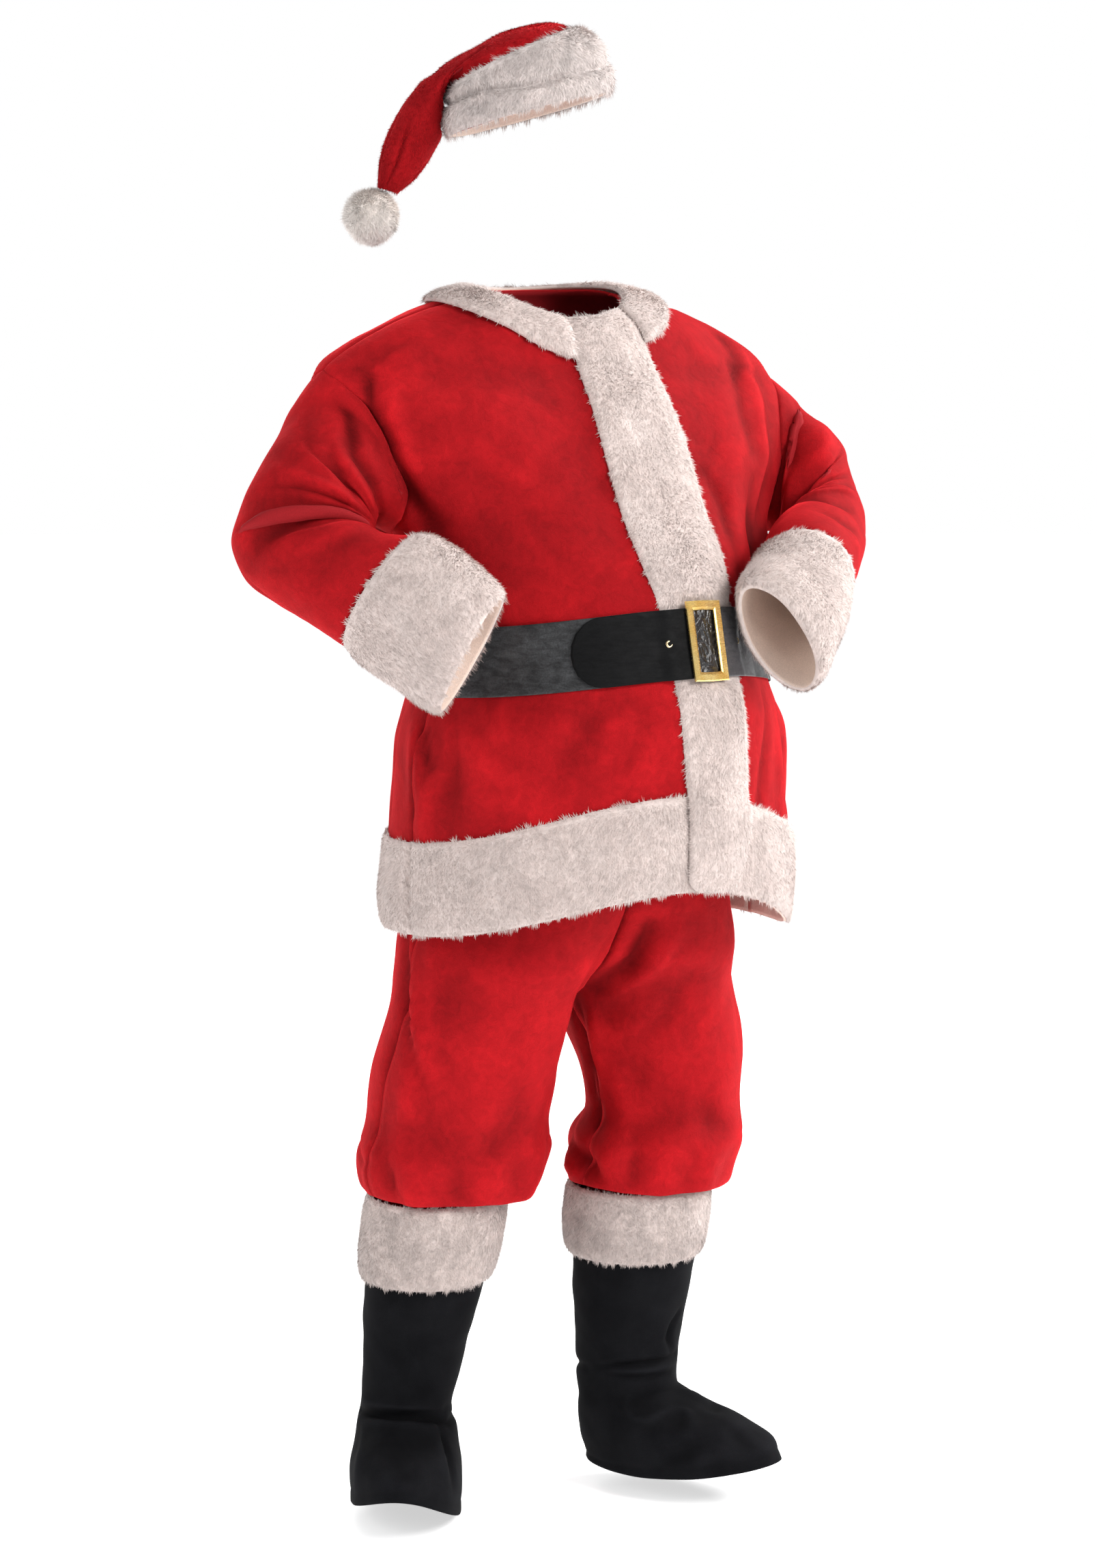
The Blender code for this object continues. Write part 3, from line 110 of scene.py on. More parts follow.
# --- coat ---
# A level of the coat: half width, depth to the front and to the back of centre_y, how far the belly
# lifts its front, how narrow that lifted stretch is and its angle from the centre front, and how
# much the level rises for each metre to the wearer's left.
COAT = Table(
    ("height", "centre_y", "half_width", "front", "back", "lift", "sharp", "peak", "roll"), [
        (-0.786, -0.085, 0.257, 0.225, 0.235, 0.068, 5.0, -3, -0.030),       # hem
        (-0.676, -0.085, 0.257, 0.225, 0.226, 0.071, 5.0, -5, -0.030),       # top of the hem band
        (-0.610, -0.085, 0.252, 0.222, 0.219, 0.059, 4.4, 0, -0.030),
        (-0.555, -0.085, 0.247, 0.219, 0.216, 0.047, 3.9, 5, -0.030),
        (-0.499, -0.083, 0.229, 0.212, 0.205, 0.035, 3.5, 10, -0.030),       # belt's lower edge
        (-0.458, -0.080, 0.219, 0.205, 0.198, 0.035, 3.5, 10, -0.030),
        (-0.417, -0.078, 0.222, 0.199, 0.197, 0.035, 3.5, 10, -0.030),       # belt's upper edge
        (-0.360, -0.066, 0.243, 0.180, 0.190, 0.034, 3.5, 5, -0.030),
        (-0.310, -0.052, 0.266, 0.160, 0.180, 0.030, 3.5, 0, -0.030),        # underarm
        (-0.260, -0.040, 0.304, 0.147, 0.172, 0.024, 3.5, 0, -0.024),
        (-0.205, -0.028, 0.340, 0.136, 0.165, 0.016, 3.5, 0, -0.016),
        (-0.150, -0.014, 0.346, 0.126, 0.152, 0.007, 3.5, 0, -0.008),
        (-0.102, 0.000, 0.326, 0.112, 0.134, 0.000, 3.5, 0, 0.000),          # shoulder point
        (-0.052, 0.004, 0.248, 0.098, 0.116, -0.012, 3.5, 0, 0.014),
        (-0.026, 0.006, 0.180, 0.090, 0.102, -0.026, 3.5, 0, 0.018),
        (-0.006, 0.008, 0.098, 0.082, 0.086, -0.042, 3.5, 0, 0.014),         # neckline
    ])
COAT_HEM, HEM_TOP, BELT_LOW, BELT_MID, BELT_HIGH = -0.786, -0.676, -0.499, -0.458, -0.417
UNDERARM, SHOULDER, NECK = -0.310, -0.102, -0.006
# Where a panel ends at the armhole, as an angle from the centre front or centre back.
ARMHOLE = Table(("height", "angle"), [
    (UNDERARM, 90.0), (-0.290, 75.0), (-0.255, 65.0), (-0.205, 61.0), (-0.155, 64.0),
    (-0.120, 74.0), (SHOULDER, 90.0)])
# Edges of the fur band, measured from the centre front towards the wearer's left.
FRONT_BAND = Table(("height", "right", "left"), [
    (COAT_HEM, -0.018, 0.076), (-0.676, -0.018, 0.078), (-0.600, -0.021, 0.080),
    (BELT_LOW, -0.026, 0.078), (BELT_HIGH, -0.034, 0.078), (-0.345, -0.040, 0.092),
    (-0.280, -0.039, 0.092), (-0.150, -0.037, 0.084), (NECK, -0.030, 0.066)])
COAT_HEIGHTS = np.concatenate([
    np.linspace(COAT_HEM, UNDERARM, 91)[:-1], np.linspace(UNDERARM, SHOULDER, 37),
    np.linspace(SHOULDER, NECK, 17)[1:]])
SIDE_COLUMNS = 36         # quads between side seam and fur band
BACK_COLUMNS = 60         # across the back
BAND_COLUMNS = 8          # under the band, to the front edge
FURLESS = BAND_COLUMNS // 2                      # of them on the left front, without a hem band
UNDER_COLUMNS = 6         # more on the left front, under the right one's edge
# Soft folds: start and end as (angle from centre front, height), width and depth (troughs < 0).
COAT_FOLDS = [
    (-68, -0.070, -62, -0.190, 0.020, -0.008),     # right chest, from the shoulder down
    (-62, -0.190, -66, -0.320, 0.022, -0.010),
    (-80, -0.310, -58, -0.385, 0.024, 0.010),      # pinch under the right sleeve
    (60, -0.090, 52, -0.250, 0.022, -0.009),       # left chest
    (52, -0.250, 44, -0.390, 0.024, -0.009),
    (28, -0.140, 34, -0.330, 0.024, 0.007),        # roll beside the band
    (78, -0.330, 66, -0.420, 0.026, -0.010),       # under the left hand
    (-95, -0.520, -84, -0.660, 0.024, 0.010),      # right side, below the belt
    (-78, -0.520, -72, -0.640, 0.022, -0.007),
    (-30, -0.520, -40, -0.620, 0.024, -0.006),
    (62, -0.520, 70, -0.660, 0.024, 0.009),        # left side, below the belt
    (48, -0.520, 54, -0.620, 0.022, -0.007),
    (120, -0.140, 132, -0.400, 0.028, -0.009),     # back, drawn towards the waist
    (240, -0.140, 228, -0.400, 0.028, -0.009),
    (168, -0.360, 170, -0.430, 0.026, 0.008),
    (196, -0.340, 192, -0.430, 0.024, 0.008),
    (150, -0.520, 140, -0.700, 0.026, 0.009),
    (182, -0.520, 180, -0.700, 0.026, 0.007),
    (214, -0.520, 224, -0.700, 0.026, 0.009),
]
FOLD_RADIUS = 0.235       # radius on which the coat's fold angles are laid out

# --- sleeves: the tube's outer and inner point at each section, seen in the plane of the bend ---
SLEEVE_COLUMNS = ("along", "outer_x", "outer_y", "outer_z", "inner_x", "inner_y", "inner_z",
                  "depth")
SLEEVE_RIGHT = Table(SLEEVE_COLUMNS, [
    (0.000, -0.326, 0.000, -0.096, -0.262, -0.052, -0.305, 0.078),      # armhole
    (0.150, -0.365, 0.011, -0.149, -0.294, -0.068, -0.290, 0.084),
    (0.300, -0.395, 0.018, -0.208, -0.304, -0.082, -0.290, 0.087),
    (0.430, -0.424, 0.020, -0.261, -0.312, -0.094, -0.291, 0.088),
    (0.540, -0.442, 0.017, -0.309, -0.317, -0.102, -0.292, 0.087),      # elbow
    (0.650, -0.438, -0.002, -0.345, -0.321, -0.117, -0.293, 0.083),
    (0.780, -0.418, -0.037, -0.374, -0.324, -0.140, -0.293, 0.078),
    (0.900, -0.388, -0.080, -0.401, -0.324, -0.165, -0.292, 0.071),
    (1.000, -0.360, -0.115, -0.425, -0.317, -0.187, -0.291, 0.066),     # seam of the cuff
    (1.090, -0.334, -0.147, -0.448, -0.292, -0.217, -0.313, 0.062),
    (1.300, -0.289, -0.197, -0.496, -0.246, -0.256, -0.362, 0.056),     # open end
])
SLEEVE_LEFT = Table(SLEEVE_COLUMNS, [
    (0.000, 0.326, 0.000, -0.109, 0.262, -0.052, -0.315, 0.078),
    (0.150, 0.370, -0.020, -0.149, 0.290, -0.080, -0.308, 0.072),
    (0.300, 0.397, -0.048, -0.191, 0.277, -0.112, -0.307, 0.070),
    (0.430, 0.404, -0.079, -0.244, 0.264, -0.127, -0.308, 0.073),
    (0.540, 0.394, -0.119, -0.289, 0.248, -0.143, -0.313, 0.070),
    (0.650, 0.372, -0.162, -0.322, 0.228, -0.166, -0.310, 0.066),
    (0.780, 0.335, -0.205, -0.336, 0.203, -0.185, -0.304, 0.061),
    (0.900, 0.290, -0.252, -0.352, 0.178, -0.210, -0.308, 0.056),
    (1.000, 0.239, -0.295, -0.370, 0.157, -0.241, -0.316, 0.052),
    (1.090, 0.206, -0.310, -0.405, 0.132, -0.266, -0.327, 0.047),
    (1.300, 0.134, -0.348, -0.480, 0.064, -0.318, -0.358, 0.039),
])
# Sleeve folds: start and end as (angle from the outer line, place along), width and depth.
SLEEVE_FOLDS = [
    (292, 0.14, 215, 0.42, 0.018, -0.010),     # creases that run to the crook of the elbow
    (285, 0.22, 205, 0.46, 0.016, 0.006),
    (330, 0.48, 215, 0.50, 0.018, -0.009),
    (325, 0.60, 215, 0.56, 0.018, 0.007),
    (320, 0.70, 215, 0.62, 0.018, -0.008),
    (300, 0.86, 210, 0.74, 0.018, 0.006),
    (60, 0.20, 140, 0.34, 0.020, -0.007),      # the same on the side away from the chest
    (30, 0.46, 135, 0.50, 0.020, -0.007),
    (40, 0.66, 140, 0.60, 0.020, 0.006),
    (40, 0.80, 140, 0.72, 0.020, -0.006),
]
SLEEVE_CLEARANCE = 0.006  # between a sleeve and the side of the coat it hangs against
SLEEVE_RADIUS, SLEEVE_LENGTH = 0.085, 0.42       # on which a sleeve's folds are laid out
SLEEVE_PLACES = np.linspace(0, 1, 97)
CUFF_PLACES = np.linspace(1.0, 1.3, 33)

# --- trousers: a leg's section; above the crotch it is cut off at the centre seam ---
LEG_COLUMNS = ("height", "centre_x", "half_width", "centre_y", "front", "back")
WAIST, CROTCH, LEG_TUCK = -0.520, -0.868, -1.155
LEG_TOP = [
    (CROTCH, 0.117, 0.117, -0.034, 0.119, 0.126),
    (-0.820, 0.100, 0.128, -0.040, 0.133, 0.138),
    (-0.760, 0.073, 0.143, -0.040, 0.144, 0.150),
    (-0.660, 0.030, 0.176, -0.042, 0.152, 0.152),
    (WAIST, 0.000, 0.190, -0.050, 0.150, 0.142),
]
LEG_RIGHT = Table(LEG_COLUMNS, [
    (LEG_TUCK, 0.153, 0.068, 0.027, 0.066, 0.066),      # hem, tucked into the boot top
    (-1.128, 0.152, 0.070, 0.027, 0.068, 0.068),
    (-1.121, 0.147, 0.090, 0.025, 0.088, 0.088),
    (-1.112, 0.141, 0.107, 0.023, 0.104, 0.102),        # blouses over it
    (-1.080, 0.136, 0.119, 0.020, 0.113, 0.112),
    (-1.030, 0.135, 0.114, 0.012, 0.110, 0.112),
    (-0.980, 0.134, 0.115, -0.002, 0.111, 0.114),
    (-0.930, 0.128, 0.115, -0.018, 0.114, 0.118),
] + LEG_TOP)
LEG_LEFT = Table(LEG_COLUMNS, [
    (LEG_TUCK, 0.094, 0.068, -0.064, 0.066, 0.066),
    (-1.128, 0.095, 0.070, -0.064, 0.068, 0.068),
    (-1.121, 0.099, 0.089, -0.066, 0.087, 0.085),
    (-1.112, 0.104, 0.102, -0.068, 0.100, 0.096),
    (-1.080, 0.115, 0.106, -0.069, 0.104, 0.102),
    (-1.030, 0.131, 0.097, -0.066, 0.098, 0.098),
    (-0.980, 0.133, 0.103, -0.059, 0.101, 0.106),
    (-0.930, 0.127, 0.112, -0.046, 0.109, 0.115),
] + LEG_TOP)
LEG_DROOP = {"right": (0.011, 145.0), "left": (0.012, 35.0)}   # how far the blouse hangs, and where
LEG_HEIGHTS = np.concatenate([
    np.linspace(LEG_TUCK, -1.125, 9)[:-1], np.linspace(-1.125, -1.06, 25)[:-1],
    np.linspace(-1.06, CROTCH, 33), np.linspace(CROTCH, WAIST, 45)[1:]])
PANEL_COLUMNS = 36        # quads from outside seam to inside seam
GATHERS = 9               # waves of the gathered hem round a leg
GATHER_DEPTH = 0.0035
# Leg folds: (angle from the outside seam, height) at both ends, width and depth.
LEG_FOLDS = [
    (12, -0.780, 26, -1.060, 0.020, 0.008),
    (150, -0.900, 120, -0.780, 0.022, -0.010),
    (165, -0.930, 150, -1.080, 0.020, 0.007),
    (95, -1.020, 70, -1.090, 0.022, -0.006),
    (200, -0.900, 235, -0.780, 0.022, -0.009),
    (300, -1.000, 330, -1.090, 0.022, -0.007),
    (255, -1.030, 230, -1.095, 0.022, 0.006),
]
LEG_RADIUS = 0.112
WAISTBAND_HEIGHT, WAIST_GATHERS = 0.036, 34

# --- boot tops: a section measured along and across the foot ---
BOOT_COLUMNS = ("height", "forward", "half_length", "half_width", "tilt", "arch")
BOOT = Table(BOOT_COLUMNS, [
    (-1.497, 0.066, 0.134, 0.068, 0.012, 0.014),       # open lower edge, over the shoe
    (-1.475, 0.062, 0.130, 0.070, 0.018, 0.008),
    (-1.455, 0.048, 0.115, 0.069, 0.021, 0.003),
    (-1.435, 0.027, 0.091, 0.065, 0.018, 0.000),
    (-1.415, 0.012, 0.073, 0.061, 0.012, 0.000),
    (-1.400, 0.005, 0.065, 0.0580, 0.006, 0.000),      # crease at the ankle
    (-1.380, 0.002, 0.065, 0.0595, 0.000, 0.000),
    (-1.330, 0.000, 0.068, 0.0650, 0.000, 0.000),
    (-1.250, 0.000, 0.077, 0.0740, 0.000, 0.000),
    (-1.135, 0.000, 0.083, 0.0795, 0.000, 0.000),      # upper edge, under the fur
])
# Each boot top: centre of its upper edge and of its ankle, where the toes point in degrees from
# straight ahead towards the wearer's left, and how its lower edge arches, reaches forward, rises
# and leans to the wearer's left.
BOOT_PLACES = {
    "right": {"top": (-0.153, 0.027), "ankle": (-0.178, 0.060), "toes": -33.0,
              "arch": 1.2, "reach": 0.000, "rise": 0.000, "lean": -0.008},
    "left": {"top": (0.094, -0.064), "ankle": (0.089, -0.042), "toes": 28.0,
             "arch": 0.4, "reach": 0.017, "rise": 0.009, "lean": 0.000},
}
BOOT_TOP, BOOT_HEM, ANKLE = -1.135, -1.497, -1.400
BOOT_HEIGHTS = np.linspace(BOOT_HEM, BOOT_TOP, 111)
BOOT_AROUND, BOOT_RADIUS = 96, 0.068
BOOT_CUFF_TOP = -1.128
BOOT_CUFF_EASE = 0.0019   # how much wider the fur's inside is than the boot top
BOOT_CUFF_DROP = {"right": 0.106, "left": 0.090}        # how far the fur reaches down the boot top

# --- hat: outer and inner point of each section, in the plane through the falling tail ---
HAT_BASE = np.array([-0.021, 0.015, 0.0])        # axis of the head opening
TAIL_TURN = math.radians(145.0)                  # where the tail falls, round from +X
TAIL_WAY = np.array([math.cos(TAIL_TURN), math.sin(TAIL_TURN), 0.0])
HAT = Table(("along", "outer_run", "outer_z", "inner_run", "inner_z", "depth"), [
    (0.00, -0.096, 0.232, 0.094, 0.180, 0.088),      # open edge
    (0.12, -0.092, 0.262, 0.092, 0.212, 0.086),
    (0.24, -0.072, 0.296, 0.090, 0.232, 0.082),
    (0.36, -0.028, 0.314, 0.098, 0.246, 0.072),
    (0.48, 0.022, 0.308, 0.105, 0.240, 0.060),
    (0.60, 0.078, 0.280, 0.113, 0.224, 0.048),
    (0.72, 0.130, 0.244, 0.119, 0.197, 0.038),
    (0.84, 0.168, 0.190, 0.127, 0.162, 0.031),
    (0.93, 0.184, 0.144, 0.140, 0.133, 0.025),
    (1.00, 0.186, 0.118, 0.160, 0.111, 0.012),      # gathered end
])
HAT_PLACES = np.linspace(0, 1, 97)
BAND_PLACES = np.linspace(0, 0.29, 41)           # of the crown that the fur band covers
CROWN_AROUND, BAND_AROUND = 84, 150
BRUSHED_FROM = 28         # row of the crown above which its plush is brushed up
HAT_RADIUS, HAT_LENGTH = 0.06, 0.36              # on which the crown's creases are laid out
POMPOM_RUN, POMPOM_Z = 0.193, 0.0828
POMPOM_RADIUS, POMPOM_CORE = 0.036, 0.0315       # with its hairs, and without

# Creases finer than the solids' folds: width and height in tenths of a millimetre, then the points
# of a line, each its angle in degrees and its height, on sleeves and hat its place along, in
# thousandths.
CREASES = {
    "sleeve_right": [
        (75, -80, 338, 50, 268, 145, 212, 165, 184, 130),  # down the front of the armhole
        (90, 50, 330, 100, 266, 195, 212, 225),
        (100, -50, 335, 160, 285, 250, 240, 300, 208, 300),
        (80, 45, 305, 380, 262, 395, 222, 395),
        (70, -52, 306, 435, 265, 440, 230, 445, 198, 410),  # over the elbow
        (95, -48, 318, 530, 262, 530, 212, 480),  # fan into the crook
        (95, -42, 305, 600, 250, 620, 205, 560),
        (105, -42, 300, 670, 246, 700, 200, 660),
        (130, -36, 318, 780, 268, 830, 228, 830),
        (130, 30, 300, 900, 262, 930),
        (70, -42, 350, 680, 356, 820, 338, 960),  # along the lower edge
        (90, -50, 60, 300, 110, 420, 150, 470),  # behind the arm
        (90, -50, 40, 520, 100, 550, 150, 530),
        (90, -45, 50, 680, 100, 660, 150, 600),
        (110, -40, 40, 120, 80, 240, 130, 360),
    ],
    "sleeve_left": [
        (90, -60, 350, 100, 322, 140, 292, 160, 250, 200),
        (100, -50, 28, 80, 70, 200, 110, 260, 150, 240),
        (90, 45, 40, 300, 80, 330, 118, 310),
        (65, -65, 60, 385, 90, 400, 125, 370, 155, 330),
        (70, 50, 50, 460, 85, 470, 120, 440),
        (75, -60, 60, 580, 90, 600, 125, 550, 160, 480),
        (70, 40, 70, 660, 105, 690, 140, 660),
        (75, -55, 55, 760, 92, 780, 130, 730),
        (75, -50, 45, 880, 78, 910, 105, 890),
        (70, 40, 30, 950, 60, 940),
        (90, -50, 300, 420, 260, 500, 220, 530),
        (90, -50, 310, 620, 262, 640, 215, 600),
        (100, -40, 300, 800, 250, 760),
    ],
    "coat": [
        (100, -55, -62, -70, -64, -150, -60, -200, -69, -300),  # chest, by the armhole
        (120, 40, -56, -110, -56, -200, -60, -270),
        (100, -50, 62, -60, 44, -100, 37, -155, 38, -215),  # the other side
        (110, 55, 70, -60, 50, -110, 45, -170, 46, -260, 50, -340),
        (90, -45, 19, -235, 27, -285, 31, -345, 30, -400),  # beside the fur band
        (100, -50, 40, -250, 45, -320, 44, -395),
        (85, -60, -98, -505, -88, -545, -84, -585, -90, -640),  # side, under the belt
        (90, 45, -84, -505, -78, -540, -77, -600),
        (120, -35, -72, -508, -62, -560, -52, -590),
        (120, -30, -20, -505, -16, -560, -22, -620),
        (85, -55, 36, -505, 33, -570, 26, -650, 22, -700),
        (95, 50, 48, -505, 44, -580, 40, -700),
        (85, -50, 60, -520, 57, -640, 52, -770),
        (90, -45, 80, -520, 76, -640, 78, -770),
        (110, -50, -112, -510, -118, -600, -116, -760),
        (110, -50, 130, -506, 126, -580, 128, -740),
        (100, -40, 152, -506, 156, -560, 160, -640),
        (100, -45, -156, -506, -152, -570, -148, -660),
        (100, 40, -174, -506, -176, -560, -170, -620),
        (110, -55, 112, -180, 126, -290, 150, -400),
        (110, -55, -112, -180, -126, -290, -150, -400),
        (130, -40, 140, -100, 152, -220, 166, -330),
        (130, -40, -140, -100, -150, -220, -168, -340),
        (90, -45, 172, -330, 176, -380, 172, -412),
        (90, -45, -170, -340, -165, -412),
    ],
    "leg_right": [
        (75, -85, 346, -780, 357, -855, 14, -912, 31, -966),  # beside the outside seam
        (85, 80, 356, -790, 8, -860, 24, -915, 42, -980),
        (100, -80, 140, -800, 150, -850, 165, -880),  # from the crotch
        (130, -35, 118, -800, 128, -870, 140, -940),
        (150, 35, 100, -930, 112, -1000, 106, -1060),
        (75, -50, 325, -1060, 345, -1078, 2, -1072),  # gathers over the boot top
        (65, -45, 12, -1050, 20, -1085, 24, -1110),
        (70, -35, 160, -1030, 150, -1070, 152, -1100),
        (120, -45, 200, -880, 222, -960, 230, -1060),
        (120, -45, 300, -860, 290, -960, 296, -1070),
        (90, -50, 262, -1020, 258, -1095),
        (80, -50, 196, -1040, 205, -1100),
    ],
    "leg_left": [
        (85, -110, 108, -770, 131, -833, 156, -868),  # from the crotch
        (95, 85, 98, -790, 122, -846, 150, -885),
        (90, -80, 120, -745, 140, -800, 158, -845),
        (130, -40, 92, -840, 112, -900, 138, -940),
        (70, -80, 171, -876, 181, -944, 190, -1002, 181, -1048),  # down the inside seam
        (80, 80, 160, -890, 168, -950, 174, -1010, 166, -1050),
        (75, -100, 214, -1066, 196, -1078, 176, -1086, 160, -1100),  # pinched fold
        (80, 70, 206, -1092, 180, -1104),
        (70, -30, 150, -1040, 140, -1075, 138, -1105),
        (90, -45, 40, -1050, 36, -1100),
        (120, -45, 8, -900, 16, -990, 10, -1080),
        (120, -45, 330, -880, 320, -980, 326, -1080),
        (120, -45, 260, -900, 252, -1000, 262, -1090),
    ],
    "boot_right": [
        (52, -75, 275, -1408, 330, -1406, 4, -1406, 40, -1412, 60, -1418, 100, -1412),
        (60, 40, 285, -1420, 330, -1417, 4, -1417, 44, -1425),  # ledge under the crease
        (85, 50, 285, -1391, 330, -1390, 10, -1391, 45, -1398),  # the shaft hangs over it
        (42, -48, 40, -1416, 44, -1428, 47, -1441, 53, -1457, 56, -1474),
        (60, 30, 32, -1424, 38, -1441, 45, -1462),
        (70, 28, 302, -1428, 304, -1448, 300, -1478),
        (120, -35, 325, -1300, 350, -1352, 20, -1372),
        (100, -26, 340, -1452, 10, -1470, 30, -1478),
        (60, -55, 120, -1404, 180, -1398, 250, -1406),
        (30, -14, 180, -1150, 180, -1300, 180, -1490),
    ],
    "boot_left": [
        (48, -65, 262, -1362, 281, -1357, 307, -1354, 343, -1354, 6, -1352),
        (42, -40, 270, -1369, 316, -1372, 352, -1374),
        (40, 30, 272, -1363, 316, -1363, 352, -1363),
        (40, 42, 296, -1398, 286, -1412, 283, -1426, 290, -1432, 304, -1429, 324, -1424,
         334, -1429, 320, -1441, 302, -1452),
        (45, -55, 357, -1292, 347, -1307, 343, -1325, 353, -1343),
        (80, 55, 4, -1414, 22, -1424),
        (42, -55, 352, -1437, 22, -1436),
        (65, -30, 312, -1455, 290, -1470, 270, -1480),
        (80, -26, 340, -1448, 330, -1466, 336, -1482),
        (60, -55, 60, -1372, 120, -1366, 180, -1372, 240, -1366),
        (30, -14, 180, -1150, 180, -1300, 180, -1490),
    ],
    "hat": [
        (75, -50, 30, 440, 70, 500, 120, 520),
        (80, -60, 0, 560, 50, 600, 110, 620),
        (75, -50, 330, 680, 20, 700, 80, 720),
        (70, -50, 40, 740, 60, 840, 70, 940),
        (70, -45, 350, 760, 340, 860, 345, 960),
        (80, -60, 200, 580, 150, 640, 110, 660),
        (75, -55, 210, 720, 170, 740, 130, 780),
        (80, -55, 300, 520, 260, 580, 220, 600),
        (65, -45, 280, 800, 270, 900, 280, 980),
        (65, -45, 180, 840, 190, 920, 185, 990),
    ],
}


# --- numbers and grids ---
def unit(vectors):
    return vectors / np.maximum(np.linalg.norm(vectors, axis=-1, keepdims=True), 1e-12)


def ease(x):
    """0 to 1 with flat ends."""
    x = np.clip(x, 0.0, 1.0)
    return x * x * (3 - 2 * x)


def hump(x, centre, width, power=2):
    """1 at the centre, and next to nothing two widths away."""
    return np.exp(-((x - centre) / width) ** power)


def spread(start, stop, count):
    """Rows of evenly spaced values from start to stop, both arrays."""
    share = np.linspace(0, 1, count + 1)
    return start[:, None] * (1 - share) + stop[:, None] * share


def round_degrees(count):
    return np.arange(count) * 360 / count


def wrap(grid, closed=True):
    """A grid whose first column comes again at its end where it is closed."""
    return np.concatenate([grid, grid[:, :1]], axis=1) if closed else grid


def crossed(grid):
    """The normal of each quad of a grid, twice its area long."""
    return np.cross(grid[1:, 1:] - grid[:-1, :-1], grid[1:, :-1] - grid[:-1, 1:])


def quad_areas(grid):
    return 0.5 * np.linalg.norm(crossed(grid), axis=-1)


def quads(ids):
    """The faces of a grid of point numbers."""
    return np.stack([ids[:-1, :-1], ids[:-1, 1:], ids[1:, 1:], ids[1:, :-1]], -1).reshape(-1, 4)


def steps(grid, axis):
    """Distances between neighbours along an axis of a grid of points."""
    return np.linalg.norm(np.diff(grid, axis=axis), axis=-1)


def sample(grid, row, column):
    """Points of a grid at fractional rows and columns, on the two triangles of each quad."""
    row, column = np.broadcast_arrays(np.asarray(row, float), np.asarray(column, float))
    r = np.clip(np.floor(row).astype(int), 0, grid.shape[0] - 2)
    c = np.clip(np.floor(column).astype(int), 0, grid.shape[1] - 2)
    s, t = (row - r)[..., None], (column - c)[..., None]
    corner, far = grid[r, c], grid[r + 1, c + 1]
    low = corner + t * (grid[r, c + 1] - corner) + s * (far - grid[r, c + 1])
    high = corner + s * (grid[r + 1, c] - corner) + t * (far - grid[r + 1, c])
    return np.where(t >= s, low, high)


def waves(points, size, seed, count=14):
    """Smooth irregular values, about -1 to 1, whose bumps are about that many metres across."""
    rng = np.random.default_rng(seed)
    way = rng.normal(size=(count, 3))
    way *= (2 * np.pi / size / 1.6) * rng.uniform(0.6, 1.25, (count, 1)) \
        / np.linalg.norm(way, axis=1, keepdims=True)
    phase = rng.uniform(0, 2 * np.pi, count)
    total = np.zeros(points.shape[:-1])
    for k, f in zip(way, phase):
        total += np.sin(points @ k + f)
    return total / math.sqrt(count) / 1.25


def fold_height(folds, angle, along, radius, length=1.0, turns=(0,)):
    """Soft folds on a tube laid out flat, in metres: each is a line with a round section."""
    folds = np.array(folds, float)
    folds[:, (0, 2)] = np.radians(folds[:, (0, 2)]) * radius
    folds[:, (1, 3)] *= length
    along = along * length
    total = 0
    for turn in turns:
        across = np.radians(angle + turn) * radius
        height = np.zeros(np.broadcast(across, along).shape)
        for a0, b0, a1, b1, width, depth in folds:
            run = np.array([a1 - a0, b1 - b0])
            share = ((across - a0) * run[0] + (along - b0) * run[1]) / np.hypot(*run) ** 2
            share = np.clip(share, 0, 1)
            away = np.hypot(across - a0 - share * run[0], along - b0 - share * run[1])
            height += depth * (0.45 + 0.55 * np.sin(np.pi * share)) * hump(away, 0, width)
        total = total + height
    return total


def crease_height(name, angle, along, radius, length=1.0):
    """Creases on a tube laid out flat, in metres; a line takes the short way round."""
    scale = (math.radians(radius), length)
    height = np.zeros(np.broadcast(angle, along).shape)
    for width, depth, *line in CREASES[name]:
        line = np.reshape(line, (-1, 2)) / (1, 1000)
        line[:, 0] = np.unwrap(line[:, 0], period=360)
        line = line * scale
        lengths = np.hypot(*np.diff(line, axis=0).T)
        run = np.concatenate([[0], np.cumsum(lengths)]) / lengths.sum()
        away = np.full(height.shape, 9.0)
        share = np.zeros(height.shape)
        for turn in (-360, 0, 360):
            x, y = (angle + turn) * scale[0], along * scale[1]
            for i, step in enumerate(lengths):
                way = (line[i + 1] - line[i]) / step
                t = np.clip((x - line[i, 0]) * way[0] + (y - line[i, 1]) * way[1], 0, step)
                gap = np.hypot(x - line[i, 0] - t * way[0], y - line[i, 1] - t * way[1])
                share = np.where(gap < away, run[i] + t / step * (run[i + 1] - run[i]), share)
                away = np.minimum(gap, away)
        fade = np.sin(np.pi * (0.12 + 0.76 * share))
        height += depth / 10000 * fade * hump(away, 0, width / 10000)
    return height


# --- surfaces that the solids have too ---
def depth_at(table, ahead, height):
    """How deep a section is: its front where ahead is positive, else its back."""
    return np.where(ahead > 0, table.at("front", height), table.at("back", height))


